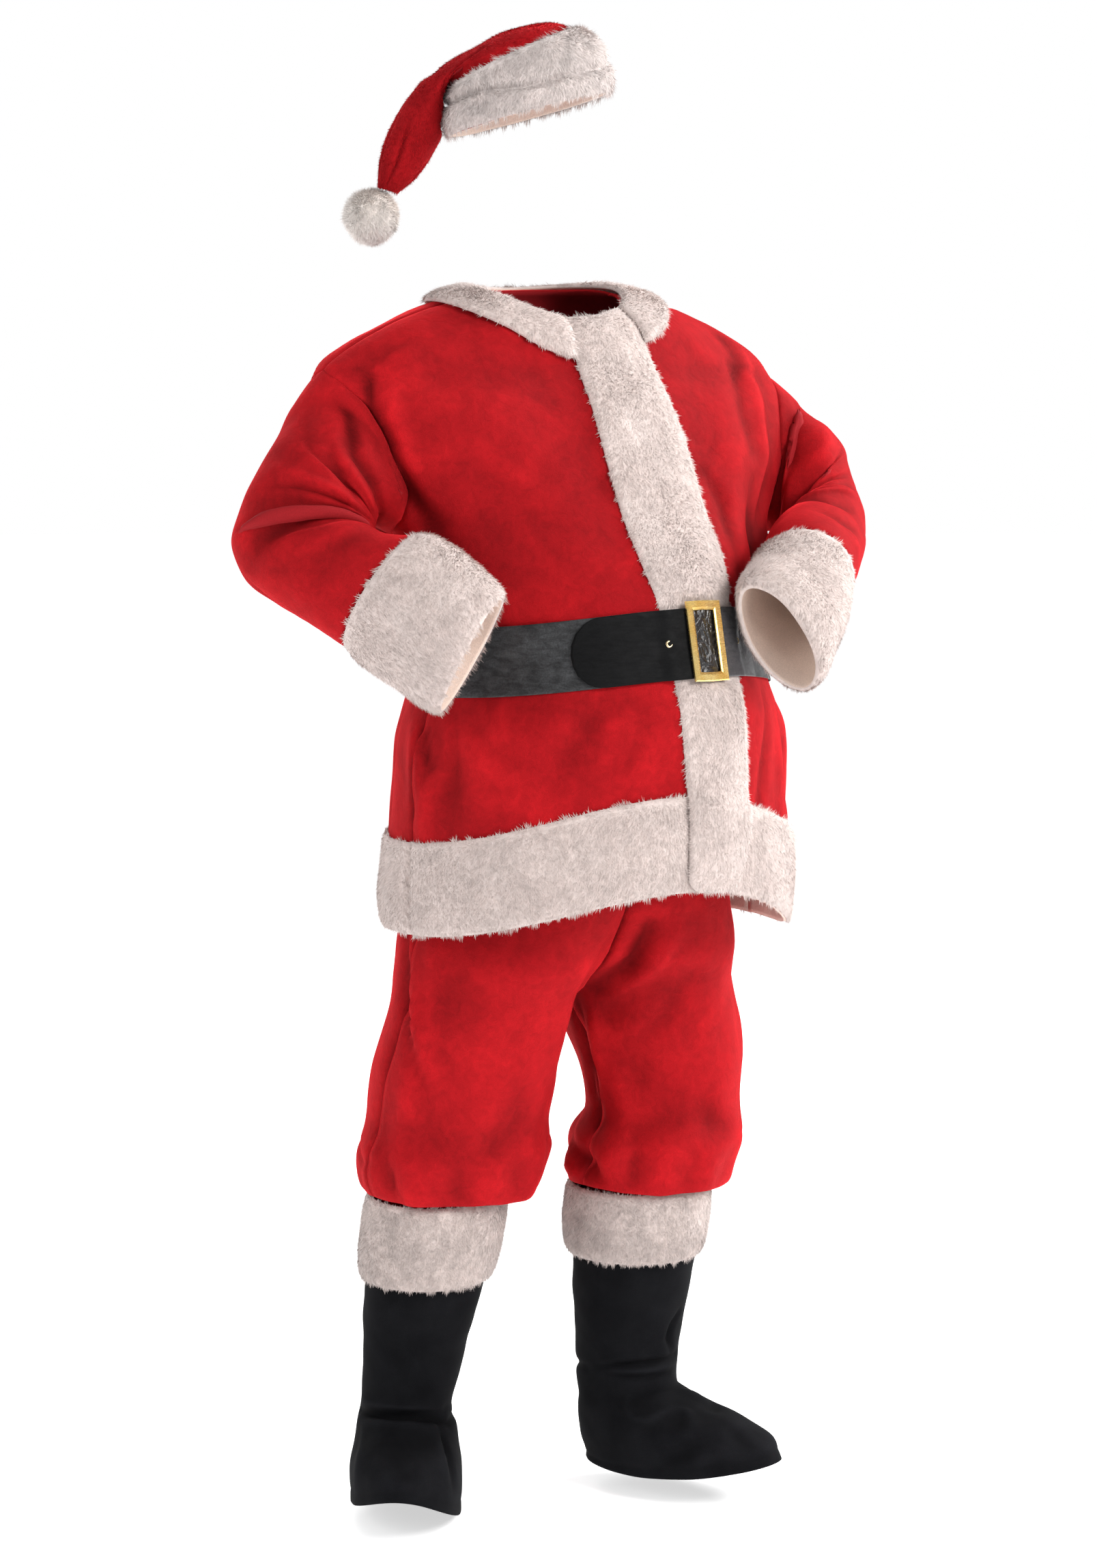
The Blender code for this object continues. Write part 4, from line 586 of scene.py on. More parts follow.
def coat_point(angle, height):
    """Points of the coat's outer face; the angle, in degrees, runs from the centre front."""
    turn = np.radians(angle)
    depth = depth_at(COAT, np.cos(turn), height)
    x = COAT.at("half_width", height) * np.sin(turn)
    y = COAT.at("centre_y", height) - depth * np.cos(turn)
    lifted = 0.5 + 0.5 * np.cos(turn - np.radians(COAT.at("peak", height)))
    z = height + COAT.at("lift", height) * lifted ** COAT.at("sharp", height) \
        + COAT.at("roll", height) * x
    z = z - HEM_SAG * hump(angle, 60, 24) * ease((HEM_TOP + 0.05 - height) / 0.14)
    rise = fold_height(COAT_FOLDS, angle, height, FOLD_RADIUS, turns=(-360, 0, 360))
    rise = rise * (1 - hump(height, BELT_MID, 0.062, 4))
    outward = np.stack([np.sin(turn), -np.cos(turn), 0 * turn], -1)
    return np.stack([x, y, z], -1) + outward * rise[..., None]


def angle_at(distance, height):
    """The angle whose point lies that far from the centre front, measured sideways."""
    return np.degrees(np.arcsin(distance / COAT.at("half_width", height)))


def band_edge(side, height):
    return angle_at(FRONT_BAND.at(side, height), height)


def coat_panel_angles():
    """The angle of each point of the three body panels, columns anticlockwise, rows upwards."""
    heights = COAT_HEIGHTS
    at_armhole = (heights > UNDERARM + 1e-6) & (heights < SHOULDER - 1e-6)
    side = np.where(at_armhole, ARMHOLE.at("angle", heights), 90.0)
    edge = angle_at(FRONT_EDGE, heights)
    band_right, band_left = (band_edge(way, heights) for way in SIDES)
    return {
        "coat_front_right": np.hstack([spread(-side, band_right, SIDE_COLUMNS),
                                       spread(band_right, edge, BAND_COLUMNS)[:, 1:]]),
        "coat_front_left": np.hstack([spread(edge, band_left, BAND_COLUMNS),
                                      spread(band_left, side, SIDE_COLUMNS)[:, 1:]]),
        "coat_back": spread(180 - side, 180 + side, BACK_COLUMNS)}


def coat_panels(angles):
    """The panels as grids; the back's edges are the fronts' own points, so a seam has no gap."""
    grids = {name: coat_point(each, COAT_HEIGHTS[:, None]) for name, each in angles.items()}
    seam = (COAT_HEIGHTS <= UNDERARM + 1e-6) | (COAT_HEIGHTS >= SHOULDER - 1e-6)
    grids["coat_back"][seam, 0] = grids["coat_front_left"][seam, -1]
    grids["coat_back"][seam, -1] = grids["coat_front_right"][seam, 0]
    return grids


def armhole_loop(grids, side):
    """The armhole's points from the shoulder, down one edge, past the underarm and up the other."""
    low, high = (int(np.argmin(abs(COAT_HEIGHTS - height))) for height in (UNDERARM, SHOULDER))
    front = grids["coat_front_" + side][low:high + 1, 0 if side == "right" else -1]
    back = grids["coat_back"][low:high + 1, -1 if side == "right" else 0]
    down, up = (back, front) if side == "right" else (front, back)
    return np.concatenate([down[::-1], up[1:-1]])


def tube(centre, half, across, around):
    """Sections of a tube: out along half at 0 degrees, along across at 90."""
    turn = np.radians(round_degrees(around))[:, None]
    return centre[:, None] + half[:, None] * np.cos(turn) + across[:, None] * np.sin(turn)


def sleeve_grid(table, loop, places):
    """Sections of a bent tube that starts in the armhole's loop."""
    outer, inner = (np.stack([table.at(edge + axis, places) for axis in "xyz"], -1)
                    for edge in ("outer_", "inner_"))
    centre, half = (outer + inner) / 2, (outer - inner) / 2
    across = unit(np.cross(unit(np.gradient(centre, places, axis=0)), half))
    sleeve = tube(centre, half, across * table.at("depth", places)[:, None], len(loop))
    rise = fold_height(SLEEVE_FOLDS, round_degrees(len(loop)), places[:, None], SLEEVE_RADIUS,
                       SLEEVE_LENGTH)
    rise = rise * (ease(places / 0.20) * ease((1.02 - places) / 0.10))[:, None]
    sleeve = sleeve + unit(sleeve - centre[:, None]) * rise[..., None]
    sleeve = sleeve + (loop - sleeve[0])[None] * (1 - ease(places / 0.30))[:, None, None]
    return clear_of_coat(sleeve, SLEEVE_CLEARANCE * ease(places / 0.12))


def clear_of_coat(sleeve, margin):
    """Push points of a sleeve that would lie in the coat out of its section, to a margin."""
    x, y, z = np.moveaxis(sleeve, -1, 0)
    height = z - COAT.at("roll", z) * x
    wide, middle = COAT.at("half_width", height), COAT.at("centre_y", height)
    forward = middle - y
    reach = np.hypot(x / wide, forward / depth_at(COAT, forward, height))
    push = np.maximum((1 + margin[:, None] / wide) / np.maximum(reach, 0.05), 1.0)
    push[0] = 1.0
    return np.stack([x * push, middle - forward * push, z], -1)


def leg_point(table, side, angle, height):
    """Points of one leg; the angle runs from the outside seam over the front to the inside seam."""
    turn = np.radians(angle)
    depth = depth_at(table, np.sin(turn), height)
    out = table.at("centre_x", height) + table.at("half_width", height) * np.cos(turn)
    y = table.at("centre_y", height) - depth * np.sin(turn)
    rise = fold_height(LEG_FOLDS, angle, height, LEG_RADIUS, turns=(0, -360))
    gathered = hump(height, -1.085, 0.030) + 0.5 * (height < -1.12)
    rise = rise + GATHER_DEPTH * np.cos(GATHERS * turn) * np.minimum(gathered, 1.0)
    rise = rise * ease((WAIST - height) / 0.20) * np.where(height > CROTCH, ease(out / 0.05), 1.0)
    out, y = out + rise * np.cos(turn), y - rise * np.sin(turn)
    droop, lowest = LEG_DROOP[side]
    hang = droop * hump(height, -1.105, 0.014) * np.cos((turn - np.radians(lowest)) / 2) ** 4
    hang = hang + BLOUSE_SAG * hump(height, -1.105, 0.022)
    return np.stack([(-1 if side == "right" else 1) * out, y, height - hang], -1)


def inside_angle(table, height):
    """Where a leg's section meets the centre seam, or 180 below the crotch."""
    share = np.clip(table.at("centre_x", height) / table.at("half_width", height), -1, 1)
    return np.where(height < CROTCH - 1e-6, 180.0, np.degrees(np.arccos(-share)))


def boot_grid(side, heights, grow=0.0):
    """Sections of a boot top, its shaft leaning from the knee to the ankle, the foot turned out."""
    place = BOOT_PLACES[side]
    share = np.clip((BOOT_TOP - heights) / (BOOT_TOP - ANKLE), 0, 1)[:, None]
    foot = ease((ANKLE - heights) / (ANKLE - BOOT_HEM))[:, None]
    centre = np.array(place["top"]) * (1 - share) + np.array(place["ankle"]) * share
    yaw = math.radians(place["toes"])
    forward = np.array([math.sin(yaw), -math.cos(yaw)])
    left = np.array([math.cos(yaw), math.sin(yaw)])
    turn = np.radians(round_degrees(BOOT_AROUND))
    section = {name: BOOT.at(name, heights)[:, None] for name in BOOT_COLUMNS[1:]}
    length, width = section["half_length"] + grow, section["half_width"] + grow
    run = section["forward"] + place["reach"] * foot + length * np.cos(turn)
    flat = centre[:, None] + run[..., None] * forward + (width * np.sin(turn))[..., None] * left
    z = (heights[:, None] + section["tilt"] * np.cos(turn)
         + place["arch"] * section["arch"] * np.cos(2 * turn)
         + foot * (place["rise"] + place["lean"] * np.sin(turn)))
    return np.concatenate([flat, z[..., None]], -1)


def hat_grid(places, around):
    """Sections of the crown, which shrinks and falls over to the wearer's right and back."""
    outer, inner = (HAT_BASE + HAT.at(edge + "_run", places)[:, None] * TAIL_WAY
                    + HAT.at(edge + "_z", places)[:, None] * UP for edge in ("outer", "inner"))
    away = -np.cross(UP, TAIL_WAY) * HAT.at("depth", places)[:, None]
    return tube((outer + inner) / 2, (outer - inner) / 2, away, around)


# --- building ---
def piece_normals(grids):
    """Vertex normals of grids sewn together; along a seam they halve the bend between them."""
    marks = [np.round(grid.reshape(-1, 3) * 1e5).astype(np.int64) for grid, _ in grids.values()]
    index = np.unique(np.concatenate(marks), axis=0, return_inverse=True)[1].ravel()
    total = np.zeros((index.max() + 1, 3))
    own, start = {}, 0
    for name, (grid, closed) in grids.items():
        ids = own[name] = index[start:start + grid.size // 3].reshape(grid.shape[:2])
        start += ids.size
        faces, corners = crossed(wrap(grid, closed)).reshape(-1, 3), wrap(ids, closed)
        mine = np.zeros_like(total)
        for part in (corners[:-1, :-1], corners[1:, :-1], corners[:-1, 1:], corners[1:, 1:]):
            np.add.at(mine, part.ravel(), faces)
        total += unit(mine) * (np.linalg.norm(mine, axis=1, keepdims=True) > 0)
    shared = unit(total)
    return {name: shared[ids] for name, ids in own.items()}


def normals_of(grid, closed):
    return piece_normals({"one": (grid, closed)})["one"]


def edge_distance(grid, edges):
    """How far each point of a grid lies, along the grid, from the nearest of some edges."""
    away = np.full(grid.shape[:2], 9.0)
    for axis, end in edges:
        turned = np.flip(grid, axis) if end else grid
        run = np.insert(np.cumsum(steps(turned, axis), axis), 0, 0, axis)
        away = np.minimum(away, np.flip(run, axis) if end else run)
    return away


def mesh_object(name, points, faces, materials, smooth=True):
    """An object from arrays of points and of triangles or quads."""
    mesh = bpy.data.meshes.new(name)
    faces = np.asarray(faces, np.int32)
    count, size = faces.shape
    mesh.vertices.add(len(points))
    mesh.vertices.foreach_set("co", np.ascontiguousarray(points, np.float32).ravel())
    mesh.loops.add(count * size)
    mesh.loops.foreach_set("vertex_index", faces.ravel())
    mesh.polygons.add(count)
    mesh.polygons.foreach_set("loop_start", np.arange(0, count * size, size, dtype=np.int32))
    mesh.update(calc_edges=True)
    mesh.validate()
    mesh.polygons.foreach_set("use_smooth", np.full(count, smooth))
    for material in materials:
        mesh.materials.append(material)
    thing = bpy.data.objects.new(name, mesh)
    bpy.context.scene.collection.objects.link(thing)
    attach(thing, "root")
    return thing


def attribute(thing, name, values):
    layer = thing.data.attributes.new(name, "FLOAT", "POINT")
    layer.data.foreach_set("value", np.ascontiguousarray(values, np.float32).ravel())


def set_finish(thing, index):
    """Give each face its number in the list of materials."""
    thing.data.polygons.foreach_set("material_index", index.astype(np.int32))


def stands_for(piece, node):
    """Let a piece take its solid's place: the solid is hidden."""
    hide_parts(node)
    return piece


def shell(name, inner, outer, closed, looks, shade=None, turned=0):
    """A closed wall between two grids of points; shade, the painted shade of its valleys and
    ridges, is kept on it as an attribute.

    The first look is the right side's and the second the inside's. The third is for fur turned
    over the lower edge, and covers the lowest rows of the inside: turned is how many.
    """
    far = inner.size // 3
    ids = np.arange(far).reshape(inner.shape[:2])
    ring = wrap(ids, closed)

    def rim(start, stop):
        return np.stack([start, stop, stop + far, start + far], -1)

    cells = quads(ring)
    rims = [rim(ring[0, :-1], ring[0, 1:]), rim(ring[-1, 1:], ring[-1, :-1])]
    if not closed:
        rims += [rim(ids[1:, 0], ids[:-1, 0]), rim(ids[:-1, -1], ids[1:, -1])]
    faces = np.concatenate([cells + far, cells[:, [0, 3, 2, 1]], *rims])
    points = np.concatenate([inner.reshape(-1, 3), outer.reshape(-1, 3)])
    thing = mesh_object(name, points, faces, looks)
    if len(looks) > 1:
        finish = np.repeat([0, 1, 0], [len(cells), len(cells), sum(map(len, rims))])
        finish[len(cells):len(cells) + turned * (ring.shape[1] - 1)] = 2
        finish[2 * len(cells):][:len(rims[0])] = 2 if turned else 0
        set_finish(thing, finish)
    # The shade is painted shade: darker in the valleys and lighter on the ridges, for the materials
    # to read.
    flat = np.full(ids.shape, 0.5) if shade is None else shade
    attribute(thing, "painted_shade_and_tone", np.concatenate([flat.ravel(), flat.ravel()]))
    return thing


def plush(node, grid, normals, closed, shade, turned=0):
    """A piece of plush: its right side on the grid, its wrong side that much deeper."""
    looks = [RED, RED_BACK] + ([FUR_BACK] if turned else [])
    piece = shell("plush_" + node, grid - normals * PLUSH, grid, closed, looks, shade, turned)
    return stands_for(piece, node)


def pile(name, grid, normals, closed, material, density, length, width, seed, comb=DOWN,
         stand=0.46, root=-0.0008, fringe=1.0):
    """Fine tapered hairs on a surface, density a square metre, combed one way and off its edges."""
    rng = np.random.default_rng(seed)
    lean = np.zeros(grid.shape)
    for axis, end in (BOTTOM, TOP) if closed else (BOTTOM, TOP, START, END):
        way = unit(np.gradient(grid, axis=axis)) * (1 if end else -1)
        lean += way * hump(edge_distance(grid, [(axis, end)]), 0, EDGE_REACH)[..., None]
    grid, normals, lean = (wrap(field, closed) for field in (grid, normals, lean))
    areas = quad_areas(grid)
    number = int(density * areas.sum())
    chance = areas.ravel() / areas.sum()
    r, c = np.unravel_index(rng.choice(len(chance), size=number, p=chance), areas.shape)
    s, t = rng.random((2, number, 1))

    def at(field):
        return (field[r, c] * (1 - s) * (1 - t) + field[r, c + 1] * (1 - s) * t
                + field[r + 1, c] * s * (1 - t) + field[r + 1, c + 1] * s * t)

    def along_surface(ways):
        return unit(ways - facing * (ways * facing).sum(-1, keepdims=True))

    base, facing, off = at(grid), unit(at(normals)), at(lean)
    patch = waves(base, 0.045, seed + 5)[:, None]
    swirl = np.stack([waves(base, 0.060, seed + k) for k in (1, 2, 3)], -1)
    lie = along_surface(np.asarray(comb, float) + 0.40 * swirl)
    lie = along_surface(lie + 0.30 * rng.normal(size=(number, 3)) + 1.6 * off)
    steep = stand + 0.20 * rng.normal(size=(number, 1)) + 0.12 * patch
    steep = np.clip(steep, 0.08, stand + 0.55)
    rise = facing * np.sin(steep) + lie * np.cos(steep)
    twist = 0.35 * rng.normal(size=(number, 1))
    flat = unit(np.cross(rise, facing))
    side = flat * np.cos(twist) + np.cross(flat, rise) * np.sin(twist)
    size = length * (0.70 + 0.60 * rng.random((number, 1)) ** 2)
    tuft = np.clip(0.5 + 0.8 * waves(base, 0.0070, seed + 8), 0, 1)[:, None]
    edge = np.linalg.norm(off, axis=1)[:, None]
    size = size * (1 + fringe * edge * (0.95 * ease(tuft) - 0.60))
    start = base + facing * root
    points = np.stack([start - side * width / 2, start + side * width / 2, start + rise * size], 1)
    thing = mesh_object(name, points.reshape(-1, 3), np.arange(number * 3).reshape(-1, 3),
                        [material])
    # A random tone for each hair, kept in the attribute that holds the walls' painted shade.
    shade = 0.5 + 0.16 * np.clip(patch[:, 0], -1.2, 1.2) + 0.26 * rng.normal(size=number)
    attribute(thing, "painted_shade_and_tone", np.repeat(np.clip(shade, 0, 1), 3))
    attribute(thing, "tip", np.tile([0.0, 0.0, 1.0], number))
    soft = unit(facing + 0.35 * np.cross(side, rise) + 0.20 * rng.normal(size=(number, 3)))
    thing.data.normals_split_custom_set_from_vertices(np.repeat(soft, 3, axis=0).tolist())
    return thing


def hollowness(grid, normals, closed, passes=20):
    """How far each point stands over its surroundings, in metres: ridges > 0, valleys < 0."""
    flat = grid.copy()
    for _ in range(passes):
        tall = np.pad(flat, ((1, 1), (0, 0), (0, 0)), mode="reflect", reflect_type="odd")
        flat = 0.25 * tall[:-2] + 0.5 * tall[1:-1] + 0.25 * tall[2:]
        wide = np.concatenate([flat[:, -1:], flat, flat[:, :1]], axis=1) if closed else \
            np.pad(flat, ((0, 0), (1, 1), (0, 0)), mode="reflect", reflect_type="odd")
        flat = 0.25 * wide[:, :-2] + 0.5 * wide[:, 1:-1] + 0.25 * wide[:, 2:]
    rise = ((grid - flat) * normals).sum(-1)
    return rise - np.median(rise)


def dress(grids, seams, relief, wobble=0.0012, seed=1, depth=0.0110):
    """Add creases, slight unevenness and seam valleys to sewn grids.

    Gives grids, normals and shades; the shades are painted shade, darker in the valleys, and
    painted highlight, lighter on the ridges.
    """
    normals = piece_normals(grids)
    fresh = {}
    for name, (grid, closed) in grids.items():
        valley = hump(edge_distance(grid, seams.get(name, ())), 0, SEAM_WIDTH)
        rise = wobble * waves(grid, 0.075, seed) + 0.45 * wobble * waves(grid, 0.030, seed + 7)
        rise = rise * (1 - 0.6 * valley) \
            - SEAM_DEPTH * valley * (1 + 0.35 * waves(grid, 0.040, seed + 9))
        rise = rise + relief.get(name, 0)
        fresh[name] = (grid + normals[name] * rise[..., None], closed)
    outward = piece_normals(fresh)
    # Painted shade and highlight from how far each point lies in a valley or on a ridge; depth sets
    # how strong.
    shade = {name: np.clip(0.5 + hollowness(grid, outward[name], closed) / depth, 0, 1)
             for name, (grid, closed) in fresh.items()}
    return fresh, outward, shade


# --- materials ---
class Look:
    """A material in the making: its Principled shader, and short ways to feed it."""

    def __init__(self, name, color, roughness, metallic=0.0, **sockets):
        self.material = bpy.data.materials.new(name)
        self.material.use_nodes = True
        self.material.diffuse_color = (*color, 1)
        self.tree = self.material.node_tree
        self.inputs = self.tree.nodes["Principled BSDF"].inputs
        sockets.update(Base_Color=(*color, 1), Roughness=roughness, Metallic=metallic)
        for key, value in sockets.items():
            self.inputs[key.replace("_", " ")].default_value = value

    def link(self, value, socket):
        self.tree.links.new(value, socket)

    def node(self, kind, **inputs):
        """A new node; each input is a number, a vector or the output of another node."""
        node = self.tree.nodes.new("ShaderNode" + kind)
        for key, value in inputs.items():
            if isinstance(value, bpy.types.NodeSocket):
                self.link(value, node.inputs[key])
            else:
                node.inputs[key].default_value = value
        return node

    def noise(self, scale, detail, rough, distortion=0.0, stretch=None):
        place = self.node("TexCoord").outputs["Object"]
        if stretch:
            place = self.node("Mapping", Vector=place, Scale=stretch).outputs["Vector"]
        return self.node("TexNoise", Vector=place, Scale=scale, Detail=detail, Roughness=rough,
                         Distortion=distortion).outputs["Fac"]

    def read(self, name):
        """An attribute that the mesh carries."""
        node = self.node("Attribute")
        node.attribute_name = name
        return node.outputs["Fac"]

    def ramp(self, value, *stops):
        """Colours along a value: each stop is its place and a colour, or a number for a grey."""
        node = self.node("ValToRGB", Fac=value)
        while len(node.color_ramp.elements) < len(stops):
            node.color_ramp.elements.new(0.5)
        for element, (place, color) in zip(node.color_ramp.elements, stops):
            element.position = place
            element.color = (*((color,) * 3 if isinstance(color, float) else color), 1)
        return node.outputs["Color"]

    def paint(self, color, *shades):
        """The base colour: a colour, multiplied by each shade in turn."""
        for shade in shades:
            node = self.tree.nodes.new("ShaderNodeMix")
            node.data_type, node.blend_type = "RGBA", "MULTIPLY"
            node.inputs[0].default_value = 1.0
            self.link(color, node.inputs[6])
            self.link(shade, node.inputs[7])
            color = node.outputs[2]
        self.link(color, self.inputs["Base Color"])

    def bump(self, *heights):
        """Bump from (value, distance, strength) triples, one over the other."""
        last = {}
        for value, distance, strength in heights:
            node = self.node("Bump", Distance=distance, Strength=strength, Height=value, **last)
            last = {"Normal": node.outputs["Normal"]}
        self.link(last["Normal"], self.inputs["Normal"])


RED_SHEEN = (1.0, 0.035, 0.045, 1)


def red_plush():
    look = Look("red_plush", (0.31, 0.0052, 0.0082), 0.85, Sheen_Weight=1.0, Sheen_Roughness=0.30,
                Sheen_Tint=RED_SHEEN, Specular_IOR_Level=0.08)
    lay = look.noise(11.0, 5.0, 0.58, 0.7)
    nap = look.noise(75.0, 4.0, 0.62, 0.8)
    fine = look.noise(950.0, 2.0, 0.6)
    look.paint(
        look.ramp(lay, (0.30, (0.250, 0.0042, 0.0068)), (0.50, (0.310, 0.0052, 0.0082)),
                  (0.72, (0.400, 0.0070, 0.0105))),
        look.ramp(nap, (0.30, 0.84), (0.72, 1.12)),
        look.ramp(fine, (0.25, 0.82), (0.75, 1.14)),
        # Painted shade in the valleys of folds and seams, painted highlight on their ridges.
        look.ramp(look.read("painted_shade_and_tone"), (0.0, 0.42), (0.5, 1.0), (1.0, 1.40)))
    look.bump((lay, 0.0040, 0.30), (nap, 0.0018, 0.40), (fine, 0.0009, 0.45))
    return look.material


def red_pile():
    """Hairs of the plush where it is brushed up."""
    look = Look("pile_red", (0.33, 0.0055, 0.0085), 0.9, Sheen_Weight=0.6, Sheen_Roughness=0.35,
                Sheen_Tint=RED_SHEEN, Specular_IOR_Level=0.08)
    # Each hair gets a random tone, and is darker towards its root and lighter at its tip: painted
    # shade deep in the pile.
    look.paint(look.ramp(look.read("painted_shade_and_tone"), (0.0, (0.230, 0.0038, 0.0062)),
                         (1.0, (0.460, 0.0078, 0.0115))),
               look.ramp(look.read("tip"), (0.0, 0.70), (0.8, 1.12)))
    return look.material


def knit_back(name, color):
    """The wrong side of a pile fabric: fine flat knitting."""
    look = Look(name, color, 0.9, Specular_IOR_Level=0.15)
    loops = look.noise(1100.0, 2.0, 0.5, 0.0, (1.0, 1.0, 0.45))
    look.paint(look.ramp(look.noise(20.0, 3.0, 0.5), (0.3, tuple(0.88 * v for v in color)),
                         (0.7, color)),
               look.ramp(loops, (0.3, 0.84), (0.7, 1.08)))
    look.bump((loops, 0.0004, 0.4))
    return look.material


def white_fur(name, tint, crushed, body):
    """Fur: the body is its dense underpile, the other the hairs over it."""
    look = Look(name, tint, 0.92, Sheen_Weight=0.20, Sheen_Roughness=0.5, Specular_IOR_Level=0.15)
    soft, tufts = look.noise(24.0, 4.0, 0.6, 0.8), look.noise(95.0, 3.0, 0.6, 1.2)
    shades = [look.ramp(soft, (0.34, tuple((0.97 - crushed) * v for v in tint)), (0.62, tint)),
              look.ramp(tufts, (0.32, 0.90 - crushed / 2), (0.66, 1.05))]
    if body:
        fine = look.noise(800.0, 3.0, 0.6)
        shades.append(look.ramp(fine, (0.25, (0.90, 0.89, 0.88)), (0.75, 1.03)))
        look.bump((soft, 0.0020, 0.20), (tufts, 0.0020, 0.40), (fine, 0.0009, 0.5))
    else:
        # Darker towards the root of each hair: painted shade deep in the pile. Then a random tone
        # for each hair.
        shades.append(look.ramp(look.read("tip"), (0.0, (0.86, 0.84, 0.82)), (0.7, 1.0)))
        shades.append(look.ramp(look.read("painted_shade_and_tone"), (0.0, (0.84, 0.83, 0.82)), (1.0, 1.14)))
    look.paint(*shades)
    return look.material


def vinyl(name, color, roughness, mottle, grain, shine, crinkle=0.0):
    look = Look(name, color, roughness, Specular_IOR_Level=shine)
    cloud = look.noise(55.0, 6.0, 0.65, 0.5, (1.0, 1.0, 2.2))
    speck = look.noise(520.0, 3.0, 0.7)
    streak = look.noise(30.0, 4.0, 0.6, 0.0, (1.0, 1.0, 14.0))
    folds = look.noise(46.0, 2.0, 0.5, 1.6, (1.0, 1.0, 0.7))
    look.paint(look.ramp(cloud, (0.32, color), (0.72, tuple(v * (1 + mottle) for v in color))),
               look.ramp(speck, (0.30, 0.75), (0.75, 1 + 0.25 * mottle)),
               look.ramp(streak, (0.30, 0.72), (0.55, 1.0)))
    dull, bright = min(roughness + 0.14, 1.0), max(roughness - 0.12, 0.04)
    look.link(look.ramp(cloud, (0.3, dull), (0.75, bright)), look.inputs["Roughness"])
    look.bump((folds, 0.0060, crinkle), (cloud, 0.0010, 0.25), (speck, 0.0004, grain))
    return look.material


def brass(name, dark, light):
    look = Look(name, light, 0.26, 1.0)
    scratch = look.noise(180.0, 3.0, 0.6, 0.0, (1.0, 1.0, 9.0))
    look.paint(look.ramp(look.noise(60.0, 3.0, 0.5), (0.3, dark), (0.7, light)))
    look.link(look.ramp(scratch, (0.3, 0.20), (0.75, 0.34)), look.inputs["Roughness"])
    look.bump((scratch, 0.0002, 0.25))
    return look.material


def black_cloth():
    look = Look("black_cloth", (0.0050, 0.0050, 0.0060), 0.85, Specular_IOR_Level=0.06)
    cloud, weave = look.noise(22.0, 4.0, 0.55, 0.4), look.noise(1400.0, 2.0, 0.6)
    look.paint(look.ramp(cloud, (0.3, (0.0036, 0.0037, 0.0046)), (0.75, (0.0068, 0.0070, 0.0082))),
               look.ramp(weave, (0.3, 0.75), (0.7, 1.25)),
               # Painted shade in the creases of the boot tops and a strong painted highlight on
               # their ridges.
               look.ramp(look.read("painted_shade_and_tone"), (0.0, 0.45), (0.5, 1.0), (1.0, 1.9)))
    look.bump((cloud, 0.0015, 0.2), (weave, 0.0003, 0.35))
    return look.material


RED, RED_PILE, CLOTH = red_plush(), red_pile(), black_cloth()
RED_BACK = knit_back("plush_back", (0.30, 0.010, 0.014))
FUR_BACK = knit_back("fur_back", (0.80, 0.64, 0.55))
# Fur of each place: its tint, and how much crushed patches of it darken.
FURS = {"coat": ((0.675, 0.580, 0.550), 0.06), "leg": ((0.640, 0.550, 0.520), 0.20),
        "hat": ((0.720, 0.650, 0.630), 0.14), "pompom": ((0.930, 0.870, 0.830), 0.10)}
FUR_BODY = {kind: white_fur("fur_" + kind, *look, True) for kind, look in FURS.items()}
FUR_PILE = {kind: white_fur("pile_" + kind, *look, False) for kind, look in FURS.items()}
STRAP = vinyl("belt_strap", (0.0105, 0.0108, 0.0115), 0.50, 3.2, 0.5, 0.28)
TONGUE = vinyl("belt_tongue", (0.0048, 0.0050, 0.0054), 0.66, 0.25, 0.25, 0.10)
GLOSS = vinyl("belt_gloss", (0.0060, 0.0060, 0.0072), 0.18, 0.4, 0.9, 0.80, 0.9)
# The strap just before the buckle: glossier, and lighter in colour as a painted reflection.
STRAP_PAINTED_SHINE = vinyl("belt_painted_shine", (0.022, 0.022, 0.024), 0.36, 2.2, 0.4, 0.60, 0.25)
GOLD = brass("gold_metal", (0.93, 0.60, 0.16), (1.0, 0.77, 0.32))
EYELET = brass("eyelet_metal", (0.50, 0.37, 0.19), (0.80, 0.66, 0.42))


def fur_piece(node, grid, facing, thickness, closed, kind, seed, lift=SEAM, length=0.0062,
              comb=DOWN):
    """A fur trim: the dense underpile as a closed wall, and the hairs that lie over it."""
    thickness, lift = (np.broadcast_to(field, grid.shape[:2]) for field in (thickness, lift))
    puff = 0.0010 * waves(grid, 0.040, seed) + 0.0004 * waves(grid, 0.014, seed + 3)
    puff = puff * np.minimum(thickness / FUR, 1)
    low = grid + facing * lift[..., None]
    high = grid + facing * (lift + thickness * UNDERPILE + puff)[..., None]
    body = shell("fur_" + node, low, high, closed, [FUR_BODY[kind], FUR_BACK])
    tufts = pile("pile_" + node, high, normals_of(high, closed), closed, FUR_PILE[kind],
                 FUR_DENSITY, length, HAIR, seed, comb)
    stands_for(body, node)


def rounded(share, edge=0.30, power=0.42):
    """Height of a trim across its width, 0 to 1: low at both edges and flat between."""
    return edge + (1 - edge) * np.sin(np.pi * np.clip(share, 0, 1)) ** power


